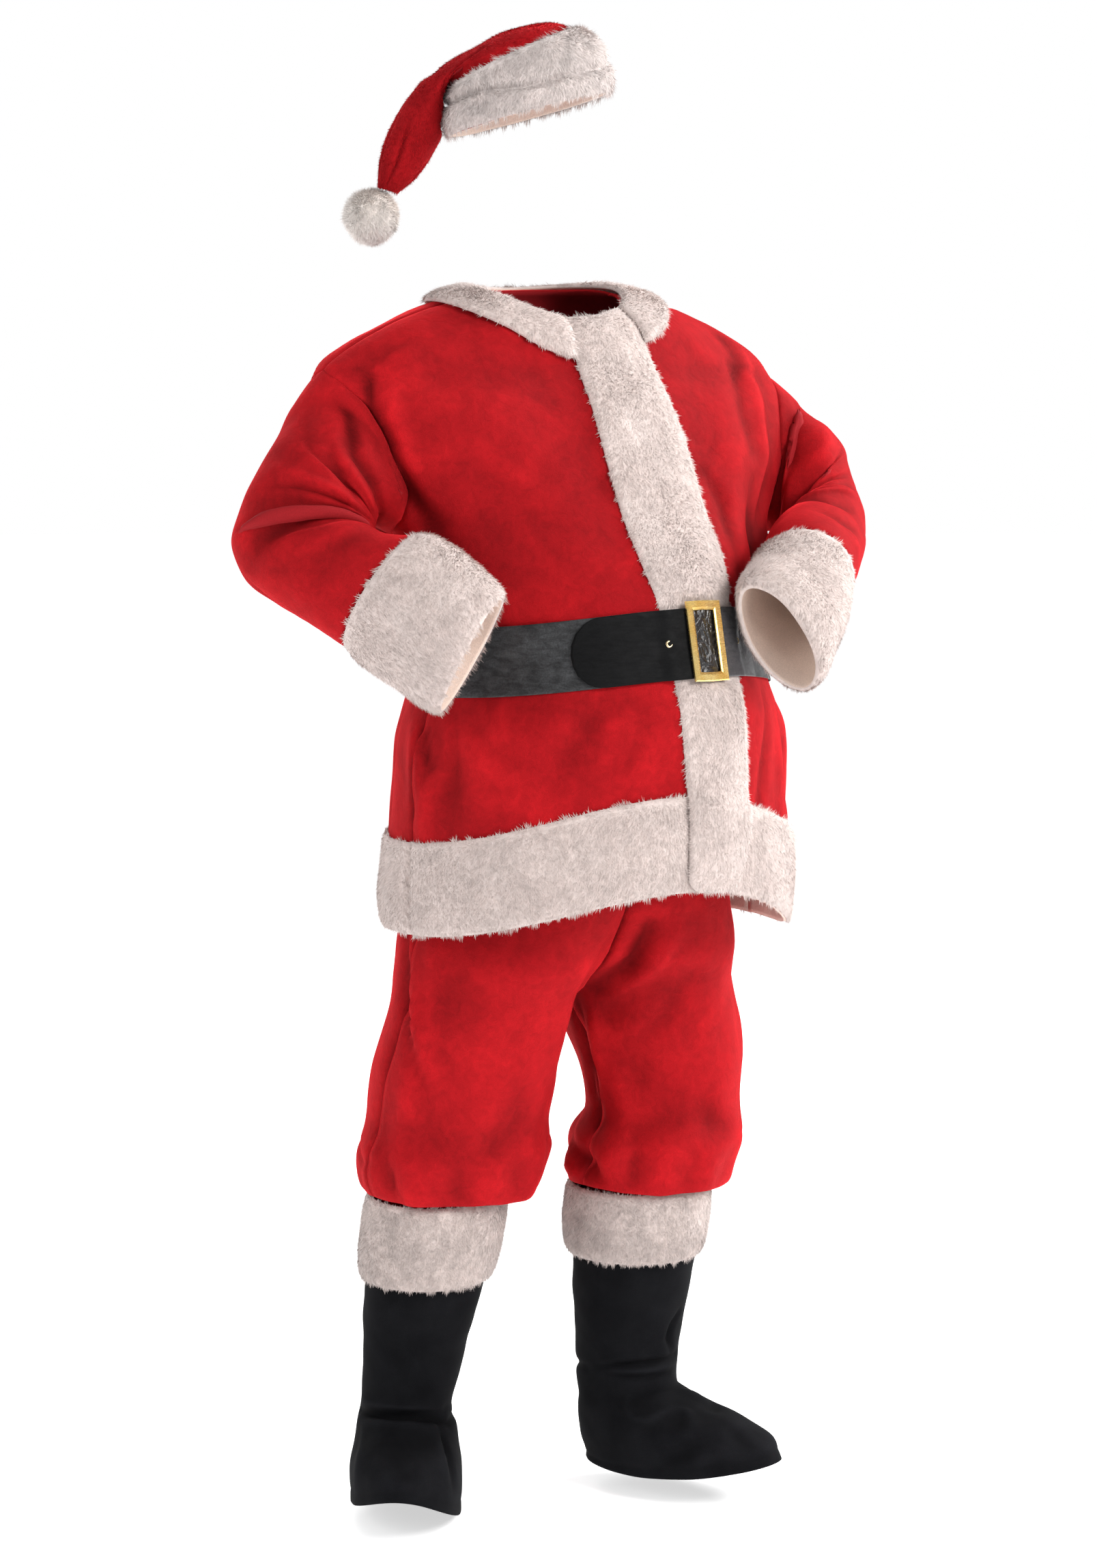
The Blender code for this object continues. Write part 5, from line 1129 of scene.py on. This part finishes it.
# --- coat: panels and sleeves ---
height = COAT_HEIGHTS[:, None]
coat_angles = coat_panel_angles()
grids = coat_panels(coat_angles)
sewn = {name: (grid, False) for name, grid in grids.items()}
relief = {}
for name, angles in coat_angles.items():
    creases = crease_height("coat", angles, height, FOLD_RADIUS)
    # The side bulges out to meet the hanging sleeve.
    bulge = SIDE_BULGE * hump(angles, 62, 18) * hump(height, -0.345, 0.042)
    relief[name] = creases * (1 - hump(height, BELT_MID, 0.055, 4)) + bulge
for side, table in zip(SIDES, (SLEEVE_RIGHT, SLEEVE_LEFT)):
    loop = armhole_loop(grids, side)
    sleeve = sleeve_grid(table, loop, np.concatenate([SLEEVE_PLACES, CUFF_PLACES[1:]]))
    sewn["sleeve_" + side] = (sleeve[:len(SLEEVE_PLACES)], True)
    sewn["cuff_" + side] = (sleeve[len(SLEEVE_PLACES) - 1:], True)
    creases = crease_height("sleeve_" + side, round_degrees(len(loop)), SLEEVE_PLACES[:, None],
                            SLEEVE_RADIUS, SLEEVE_LENGTH)
    ends = ease((SLEEVE_PLACES - 0.01) / 0.06) * ease((1.0 - SLEEVE_PLACES) / 0.05)
    relief["sleeve_" + side] = creases * ends[:, None]
seams = {"coat_front_right": [START], "coat_front_left": [END], "coat_back": [START, END],
         "sleeve_right": [BOTTOM, TOP], "sleeve_left": [BOTTOM, TOP]}
sewn, normals, shade = dress(sewn, seams, relief)
for name in ("coat_front_right", "coat_back", "sleeve_right", "sleeve_left"):
    grid, closed = sewn[name]
    piece = plush(name, grid, normals[name], closed, shade[name], turned=0 if closed else HEM_TURN)

# The left front goes on under the right one's edge, and lies that much deeper there.
under = spread(angle_at(UNDERLAP, COAT_HEIGHTS), angle_at(FRONT_EDGE, COAT_HEIGHTS), UNDER_COLUMNS)
under = under[:, :-1]
left_front = sewn["coat_front_left"][0]
joined = np.concatenate([coat_point(under, height), left_front], axis=1)
facing = normals_of(joined, False)
facing[:, UNDER_COLUMNS:] = normals["coat_front_left"]
facing = unit(facing)
drop = np.interp(np.arange(joined.shape[1]), [7, 8, 11, 12], [1, 0.8, 0.1, 0]) * (PLUSH + 2 * SEAM)
lowered = joined - facing * drop[None, :, None]
whole_shade = np.concatenate([np.full(under.shape, 0.5), shade["coat_front_left"]], axis=1)
piece = plush("coat_front_left", lowered, facing, False, whole_shade, HEM_TURN)

# --- coat: fur trims ---
cuff_level = np.interp(np.linspace(0, 1, len(CUFF_PLACES)), [0, 0.12, 0.30, 0.80, 0.95, 1.0],
                       [0.12, 0.75, 1.0, 1.0, 0.75, 0.30])[:, None]
for side in SIDES:
    name = "cuff_" + side
    fur_piece(name, sewn[name][0], normals[name], cuff_level * FUR + PLUSH, True, "coat", 11,
              lift=-PLUSH, comb=(0.2, -0.4, -0.6))

# Hem bands, pressed flat where the front band lies over them: for each its panel, first column,
# sewn sides and how much of the pile stands in each column.
hem_rows = int(np.argmin(abs(COAT_HEIGHTS - HEM_TOP))) + 1
hem_level = rounded((COAT_HEIGHTS[:hem_rows] - COAT_HEM) / (HEM_TOP - COAT_HEM))[:, None]
column = np.arange(SIDE_COLUMNS + BAND_COLUMNS + 1)
for name, panel, first, sides, stands in (
        ("hem_band_right", "coat_front_right", 0, [START],
         np.clip((SIDE_COLUMNS + 0.5 - column) / 2.2, 0, 1)),
        ("hem_band_back", "coat_back", 0, [START, END], np.ones(BACK_COLUMNS + 1)),
        ("hem_band_left", "coat_front_left", FURLESS, [END],
         np.clip((column[:-FURLESS] - 5.4) / 3.2, -0.45, 1))):
    grid, facing = sewn[panel][0][:hem_rows, first:], normals[panel][:hem_rows, first:]
    groove = 1 - 0.55 * hump(edge_distance(grid, sides), 0, 0.004)
    level = hem_level * (PRESSED + (1 - PRESSED) * stands) * groove
    fur_piece(name, grid, facing, level * FUR, False, "coat", 21)

# Front band: rounded at its sides and its lower end, pressed under the belt, fuller over the hem.
across = np.linspace(0, 1, 23)
first, last = (band_edge(side, COAT_HEIGHTS)[:, None] for side in SIDES)
bottom = 0.058 * np.clip((across - 0.45) / 0.55, 0, 1) ** 2.4 \
    + 0.012 * np.clip((0.18 - across) / 0.18, 0, 1) ** 2
band_height = height + bottom * np.clip(1 - (height - COAT_HEM) / 0.14, 0, 1)
grid = coat_point(first * (1 - across) + last * across, band_height)
from_belt = np.abs(band_height - BELT_MID) - (BELT_HIGH - BELT_MID)
level = rounded(across, 0.28, 0.50) * (1 - (1 - PRESSED) * (1 - ease(from_belt / 0.022)))
level = level * (1.08 + 0.22 * ease((HEM_TOP + 0.03 - band_height) / 0.05))
level = level * rounded(np.clip((height - COAT_HEM) / 0.24, 0, 0.5), 0.30, 0.40)
on_hem = ease((HEM_TOP + 0.010 - band_height) / 0.020)
fur_piece("front_band", grid, normals_of(grid, False), level * FUR, False, "coat", 31,
          lift=SEAM + on_hem * (SEAM + FUR * PRESSED * 1.08))

# Collar: over the tops of the three panels, as wide as measured down from the neckline.
panels = (("coat_front_left", slice(BAND_COLUMNS, None)), ("coat_back", slice(1, None)),
          ("coat_front_right", slice(1, -BAND_COLUMNS)))
grid, facing = (np.hstack([field[name][-COLLAR_REACH:, columns] for name, columns in panels])
                for field in (grids, normals))
run = np.insert(np.cumsum(steps(grid[::-1], 0), axis=0), 0, 0, axis=0)
row = len(run) - 1 - np.array([[np.interp(width, down, np.arange(len(run))) for down in run.T]
                               for width in np.linspace(COLLAR_WIDTH, 0.0, 15)])
column = np.arange(grid.shape[1])[None]
level = rounded(np.linspace(0, 1, len(row)), 0.38)[:, None] \
    * rounded(np.linspace(0, 1, grid.shape[1]), 0.45, 0.12)
fur_piece("collar", sample(grid, row, column), unit(sample(facing, row, column)), level * FUR,
          False, "coat", 41, lift=COLLAR_LIFT)


# --- belt ---
def belt():
    """The strap round the waist and its tongue over it, as one wall with four finishes."""
    middle = np.array([BELT_MID])
    edge = float(angle_at(FRONT_EDGE, middle)[0])
    band = [float(band_edge(side, middle)[0]) for side in SIDES]
    tip = -90 + (band[0] + 90) * 5 / 8           # between the right side seam and the fur band
    turn = np.linspace(edge + 360, tip, 420)
    lines = np.array([-1, -0.985, -0.95, -0.86, -0.6, -0.3, 0, 0.3, 0.6, 0.86, 0.95, 0.985, 1])
    # The tongue's end is a half round.
    drawn = np.radians(turn) * BELT_RADIUS
    near = np.clip((drawn[-1] + TIP_RADIUS * 1.6 - drawn) / (TIP_RADIUS * 1.6), 0, 1)
    inward = (1 - np.sqrt(np.maximum(0.0, 1 - lines ** 2)))[:, None] * TIP_RADIUS * near ** 1.4
    angle = turn + np.degrees(inward / BELT_RADIUS)
    level = BELT_MID + lines[:, None] * (BELT_HIGH - BELT_MID) + 0 * angle
    points = coat_point(angle, level)
    facing = normals_of(points[:, ::-1], False)[:, ::-1]
    facing[..., 2] *= 0.2
    facing = unit(facing)
    # It climbs over the fur band, and the tongue over the strap.
    share = ((angle % 360 + 180) % 360 - 180 - band[0]) / (band[1] - band[0])
    on_band = ease((share + 0.12) / 0.14) * ease((1.12 - share) / 0.14) * PRESSED * FUR * 1.05
    on_strap = ease((edge + 9.0 - angle) / 12.0) * (BELT_WALL + 2 * SEAM)
    ripple = 0.0008 * waves(points, 0.05, 77) * (1 - hump(angle, edge, 16))
    lift = 2 * SEAM + on_band + on_strap + 0.0004 + ripple
    round_off = np.interp(abs(lines), [0.95, 0.985, 1], [0, 0.0002, 0.0009])[:, None]
    low = points + facing * (lift + round_off)[..., None]
    high = points + facing * (lift + BELT_WALL - round_off)[..., None]
    thing = shell("belt_vinyl", low[:, ::-1], high[:, ::-1], False, [STRAP, TONGUE, GLOSS, STRAP_PAINTED_SHINE])
    # Faces by where they lie round the waist: beyond the buckle, in it, just before it, the rest;
    # just before it the strap is glossier and lighter, a painted reflection.
    place = (turn[::-1][:-1] + turn[::-1][1:]) / 2
    kind = np.select([place < edge - 6.5, place < edge + 6.5, place < edge + 26], [1, 2, 3], 0)
    rows = len(lines) - 1
    set_finish(thing, np.concatenate([np.tile(kind, 2 * rows + 2), np.repeat(kind[[0, -1]], rows)]))
    stands_for(thing, "belt")


def seat(node):
    """Where a small flat solid lies: middle, its cross, long and outward ways, half its size."""
    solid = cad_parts[node]
    points = np.array([solid.matrix_world @ corner.co for corner in solid.data.vertices])
    centre = points.mean(0)
    ways = np.linalg.eigh(np.cov((points - centre).T))[1]
    out, up = ways[:, 0], ways[:, 2]
    out = out * np.sign(out @ (centre * (1, 1, 0)))
    up = up * np.sign(up[2])
    ways = np.array([np.cross(up, out), up, out])
    return centre, ways, np.abs((points - centre) @ ways.T).max(0)


def swept(node, loops, material, smooth):
    """A closed ring on its solid's seat, from the loops of its profile in the plane of the ring."""
    points = np.array(loops) @ SEATS[node][1] + SEATS[node][0]
    ids = np.arange(points.size // 3).reshape(points.shape[:2])
    ids = wrap(np.concatenate([ids, ids[:1]]))
    piece = mesh_object("metal_" + node, points.reshape(-1, 3), quads(ids), [material], smooth)
    stands_for(piece, node)


belt()
SEATS = {node: seat(node) for node in ("buckle", "eyelet_side", "eyelet_tongue")}
# The buckle: a flat frame with a bevel outside, a step and a slope inside, as (inset, rise) points.
loops = []
for inset, rise in ((0.0, -1.0), (0.0, 0.30), (0.0012, 1.0), (0.0080, 0.86), (0.0086, 0.52),
                    (0.0106, 0.10), (0.0110, -0.30), (0.0110, -1.0)):
    x, y, z = SEATS["buckle"][2] - (inset, inset, 0)
    z, bowed = z * rise, y + BUCKLE_BOW
    loops.append([(-x, -y, z), (0, -bowed, z), (x, -y, z), (x, 0, z),
                  (x, y, z), (0, bowed, z), (-x, y, z), (-x, 0, z)])
swept("buckle", loops, GOLD, False)
# The eyelets: a rolled rim, as (radius, rise) points.
turn = np.radians(round_degrees(40))
loops = [[(radius * math.cos(a), radius * math.sin(a), rise) for a in turn] for radius, rise in (
    (0.0019, -0.0008), (0.0020, 0.0008), (0.0026, 0.0014), (0.0036, 0.0015),
    (0.0045, 0.0010), (0.0048, 0.0002), (0.0047, -0.0008))]
for node in ("eyelet_side", "eyelet_tongue"):
    swept(node, loops, EYELET, True)

# --- trousers ---
leg_grids, leg_relief = {}, {}
below, above = LEG_HEIGHTS <= CROTCH + 1e-6, LEG_HEIGHTS >= CROTCH - 1e-6
# The gathered hem puffs out over the boot top and rolls under.
puff = 0.0045 * hump(LEG_HEIGHTS, -1.070, 0.022) - 0.0030 * hump(LEG_HEIGHTS, -1.124, 0.012)
for side, table in zip(SIDES, (LEG_RIGHT, LEG_LEFT)):
    inner, outer = inside_angle(table, LEG_HEIGHTS), np.zeros(len(LEG_HEIGHTS))
    angles = spread(outer, inner, PANEL_COLUMNS), spread(outer + 360, 360 - inner, PANEL_COLUMNS)
    front, back = (leg_point(table, side, each, LEG_HEIGHTS[:, None]) for each in angles)
    back[:, 0] = front[:, 0]
    back[below, -1] = front[below, -1]
    front[above, -1, 0] = back[above, -1, 0] = 0.0
    for panel, grid, each in zip(("front", "back"), (front, back), angles):
        name = "trousers_%s_%s" % (side, panel)
        # Columns run anticlockwise, seen from above.
        way = -1 if (side == "left") == (panel == "front") else 1
        leg_grids[name] = (grid[:, ::way], False)
        creases = crease_height("leg_" + side, each[:, ::way], LEG_HEIGHTS[:, None], LEG_RADIUS)
        leg_relief[name] = creases * ease((WAIST - LEG_HEIGHTS) / 0.06)[:, None] + puff[:, None]
leg_sewn, leg_normals, leg_shade = dress(leg_grids, {name: [START, END] for name in leg_grids},
                                         leg_relief, wobble=0.0016, seed=51, depth=0.0150)
for name, (grid, _) in leg_sewn.items():
    sign = -1 if "right" in name else 1
    grid[..., 0] = sign * np.maximum(sign * grid[..., 0], SEAM * 0.95)
    piece = plush(name, grid, leg_normals[name], False, leg_shade[name])
ring = np.concatenate([leg_grids["trousers_" + name][0][-1, :-1]
                       for name in ("right_front", "left_front", "left_back", "right_back")])
grid = ring + UP * np.linspace(SEAM, WAISTBAND_HEIGHT, 9)[:, None, None]
facing = normals_of(grid, True)
swell = 0.0012 * np.cos(np.radians(round_degrees(len(ring))) * WAIST_GATHERS) \
    * np.sin(np.linspace(0, np.pi, 9))[:, None]
# The shade is painted: lighter on the crests of the gathers, darker in their hollows.
piece = plush("trousers_waistband", grid + facing * swell[..., None], facing, True,
              np.clip(0.5 + (swell - swell.mean()) * 200, 0, 1))

# --- boot tops ---
hem = BOOT_HEIGHTS - BOOT_HEM
stitched = 0.0008 * hump(hem, 0, 0.005) - 0.0009 * hump(hem, 0.011, 0.0022)
for side in SIDES:
    grid = boot_grid(side, BOOT_HEIGHTS)
    rise = 0.0011 * waves(grid, 0.055, 61) + 0.0006 * waves(grid, 0.024, 66)
    rise = rise + crease_height("boot_" + side, round_degrees(BOOT_AROUND), BOOT_HEIGHTS[:, None],
                                BOOT_RADIUS) + stitched[:, None]
    made = grid + normals_of(grid, True) * rise[..., None]
    outward = normals_of(made, True)
    # Painted shade in the creases and painted highlight on the ridges, from how hollow each point
    # lies.
    boot = shell("cloth_boot_top_" + side, made - outward * BOOT_CLOTH, made, True, [CLOTH],
                 np.clip(0.5 + hollowness(made, outward, True) / 0.010, 0, 1))
    stands_for(boot, "boot_top_" + side)
    share = np.linspace(0, 1, 21)
    grid = boot_grid(side, BOOT_CUFF_TOP - (1 - share) * BOOT_CUFF_DROP[side], BOOT_CUFF_EASE)
    fur_piece("boot_cuff_" + side, grid, normals_of(grid, True),
              rounded(share, 0.35)[:, None] * FUR * 1.05, True, "leg", 71, lift=0.0)

# --- hat ---
around = round_degrees(CROWN_AROUND)
places = HAT_PLACES[:, None]
rise = crease_height("hat", around, places, HAT_RADIUS, HAT_LENGTH)
rise = rise + 0.016 * hump(around, 180, 62) * hump(places, 0.72, 0.17)
crown = {"hat_crown": (hat_grid(HAT_PLACES, CROWN_AROUND), True)}
crown, facing, shade = (made["hat_crown"] for made in dress(
    crown, {}, {"hat_crown": rise * ease((places - 0.30) / 0.06)}, wobble=0.0020, seed=81))
grid = crown[0]
crown = plush("hat_crown", grid, facing, True, shade, CROWN_TURN)
tufts = pile("pile_hat_crown", grid[BRUSHED_FROM:], facing[BRUSHED_FROM:], True, RED_PILE,
             PLUSH_DENSITY, 0.0042, THICK_HAIR, 83, stand=0.60, fringe=0.0)

# The band's fur is parted by a wandering furrow.
grid = hat_grid(BAND_PLACES, BAND_AROUND)
share = np.linspace(0, 1, len(BAND_PLACES))[:, None]
turn = np.radians(round_degrees(BAND_AROUND))
furrow = 0.46 + 0.07 * np.sin(turn * 2 + 0.6) + 0.03 * np.sin(turn * 5)
level = rounded(share, 0.40) * (1.12 - 0.72 * hump(share, furrow, 0.075))
level = level * (1 + 0.10 * waves(grid, 0.035, 93) + 0.13 * waves(grid, 0.013, 94))
fur_piece("hat_band", grid, normals_of(grid, True), level * FUR, True, "hat", 91, lift=2 * SEAM,
          length=0.0085)

centre = HAT_BASE + POMPOM_RUN * TAIL_WAY + POMPOM_Z * UP
rows, columns = 40, 64
up, turn = np.meshgrid(np.linspace(0.02, np.pi - 0.02, rows),
                       np.radians(round_degrees(columns)), indexing="ij")
ball = np.stack([np.sin(up) * np.cos(turn), np.sin(up) * np.sin(turn), -np.cos(up)], -1)
spot = ball * POMPOM_RADIUS
tuft = 1 + 0.035 * waves(spot, 0.020, 95) + 0.02 * waves(spot, 0.009, 97)
outer = centre + ball * (POMPOM_CORE * tuft)[..., None]
ring = wrap(np.arange(rows * columns).reshape(rows, columns))
faces, pole = quads(ring), np.full(columns, rows * columns)
points = np.concatenate([outer.reshape(-1, 3), outer[:1].mean(1), outer[-1:].mean(1)])
faces = np.concatenate([faces[:, [0, 1, 2]], faces[:, [0, 2, 3]],
                        np.stack([ring[0, 1:], ring[0, :-1], pole], -1),
                        np.stack([ring[-1, :-1], ring[-1, 1:], pole + 1], -1)])
pompom = mesh_object("fur_hat_pompom", points, faces, [FUR_BODY["pompom"]])
attribute(pompom, "painted_shade_and_tone", np.full(len(points), 0.5))
tufts = pile("pile_hat_pompom", outer, unit(outer - centre), True, FUR_PILE["pompom"],
             POMPOM_DENSITY, 0.0080, THICK_HAIR, 98, comb=(0.2, -0.2, -0.5), stand=0.95,
             root=-0.002, fringe=0.0)
stands_for(pompom, "hat_pompom")


# --- floor and light ---
def staged(name, points, faces, look):
    mesh = bpy.data.meshes.new(name)
    mesh.from_pydata(points, [], faces)
    mesh.materials.append(look.material)
    thing = bpy.data.objects.new(name, mesh)
    bpy.context.scene.collection.objects.link(thing)
    return thing


def light(name, place, target, size, power, color=(1, 1, 1)):
    lamp = bpy.data.lights.new(name, "AREA")
    lamp.shape = "SQUARE"
    lamp.size = size
    lamp.energy = power
    lamp.color = color
    thing = bpy.data.objects.new(name, lamp)
    thing.location = place
    thing.rotation_euler = (Vector(target) - Vector(place)).to_track_quat("-Z", "Y").to_euler()
    bpy.context.scene.collection.objects.link(thing)


# A pale floor to the horizon, and a white shell round it that is seen but lights nothing.
FLOOR, FLOOR_RADIUS, HORIZON = -1.527, 23.9, 24.0
turn = np.radians(round_degrees(96))
staged("floor", [(FLOOR_RADIUS * math.cos(a), FLOOR_RADIUS * math.sin(a), FLOOR) for a in turn],
       [list(range(len(turn)))],
       Look("floor", (0.86, 0.86, 0.865), 0.9, Emission_Color=(1, 1, 1, 1), Emission_Strength=0.58))
points = [(HORIZON * math.cos(a) * math.cos(b), HORIZON * math.sin(a) * math.cos(b),
           HORIZON * math.sin(b)) for b in np.linspace(-0.2, 1.5, 12) for a in turn[::2]]
dome = staged("backdrop", points, quads(wrap(np.arange(len(points)).reshape(12, -1))).tolist(),
              Look("backdrop", (0.0, 0.0, 0.0), 1.0, Emission_Color=(1, 1, 1, 1),
                   Emission_Strength=1.0, Specular_IOR_Level=0.0))
dome.visible_diffuse = dome.visible_glossy = dome.visible_transmission = dome.visible_shadow = False
light("key", (1.3, -3.7, 1.7), (0, -0.1, -0.6), 1.6, 150, (1.0, 0.985, 0.97))
light("left", (-3.5, 0.2, 0.7), (0, 0, -0.6), 2.0, 42)
light("right", (3.1, -0.5, 1.2), (0, 0, -0.6), 1.6, 140)
light("back", (0.9, 3.6, 1.3), (0, 0, -0.6), 1.8, 40)
world = bpy.data.worlds.new("world")
bpy.context.scene.world = world
world.use_nodes = True
world.node_tree.nodes["Background"].inputs["Color"].default_value = (1, 1, 1, 1)
world.node_tree.nodes["Background"].inputs["Strength"].default_value = 0.55
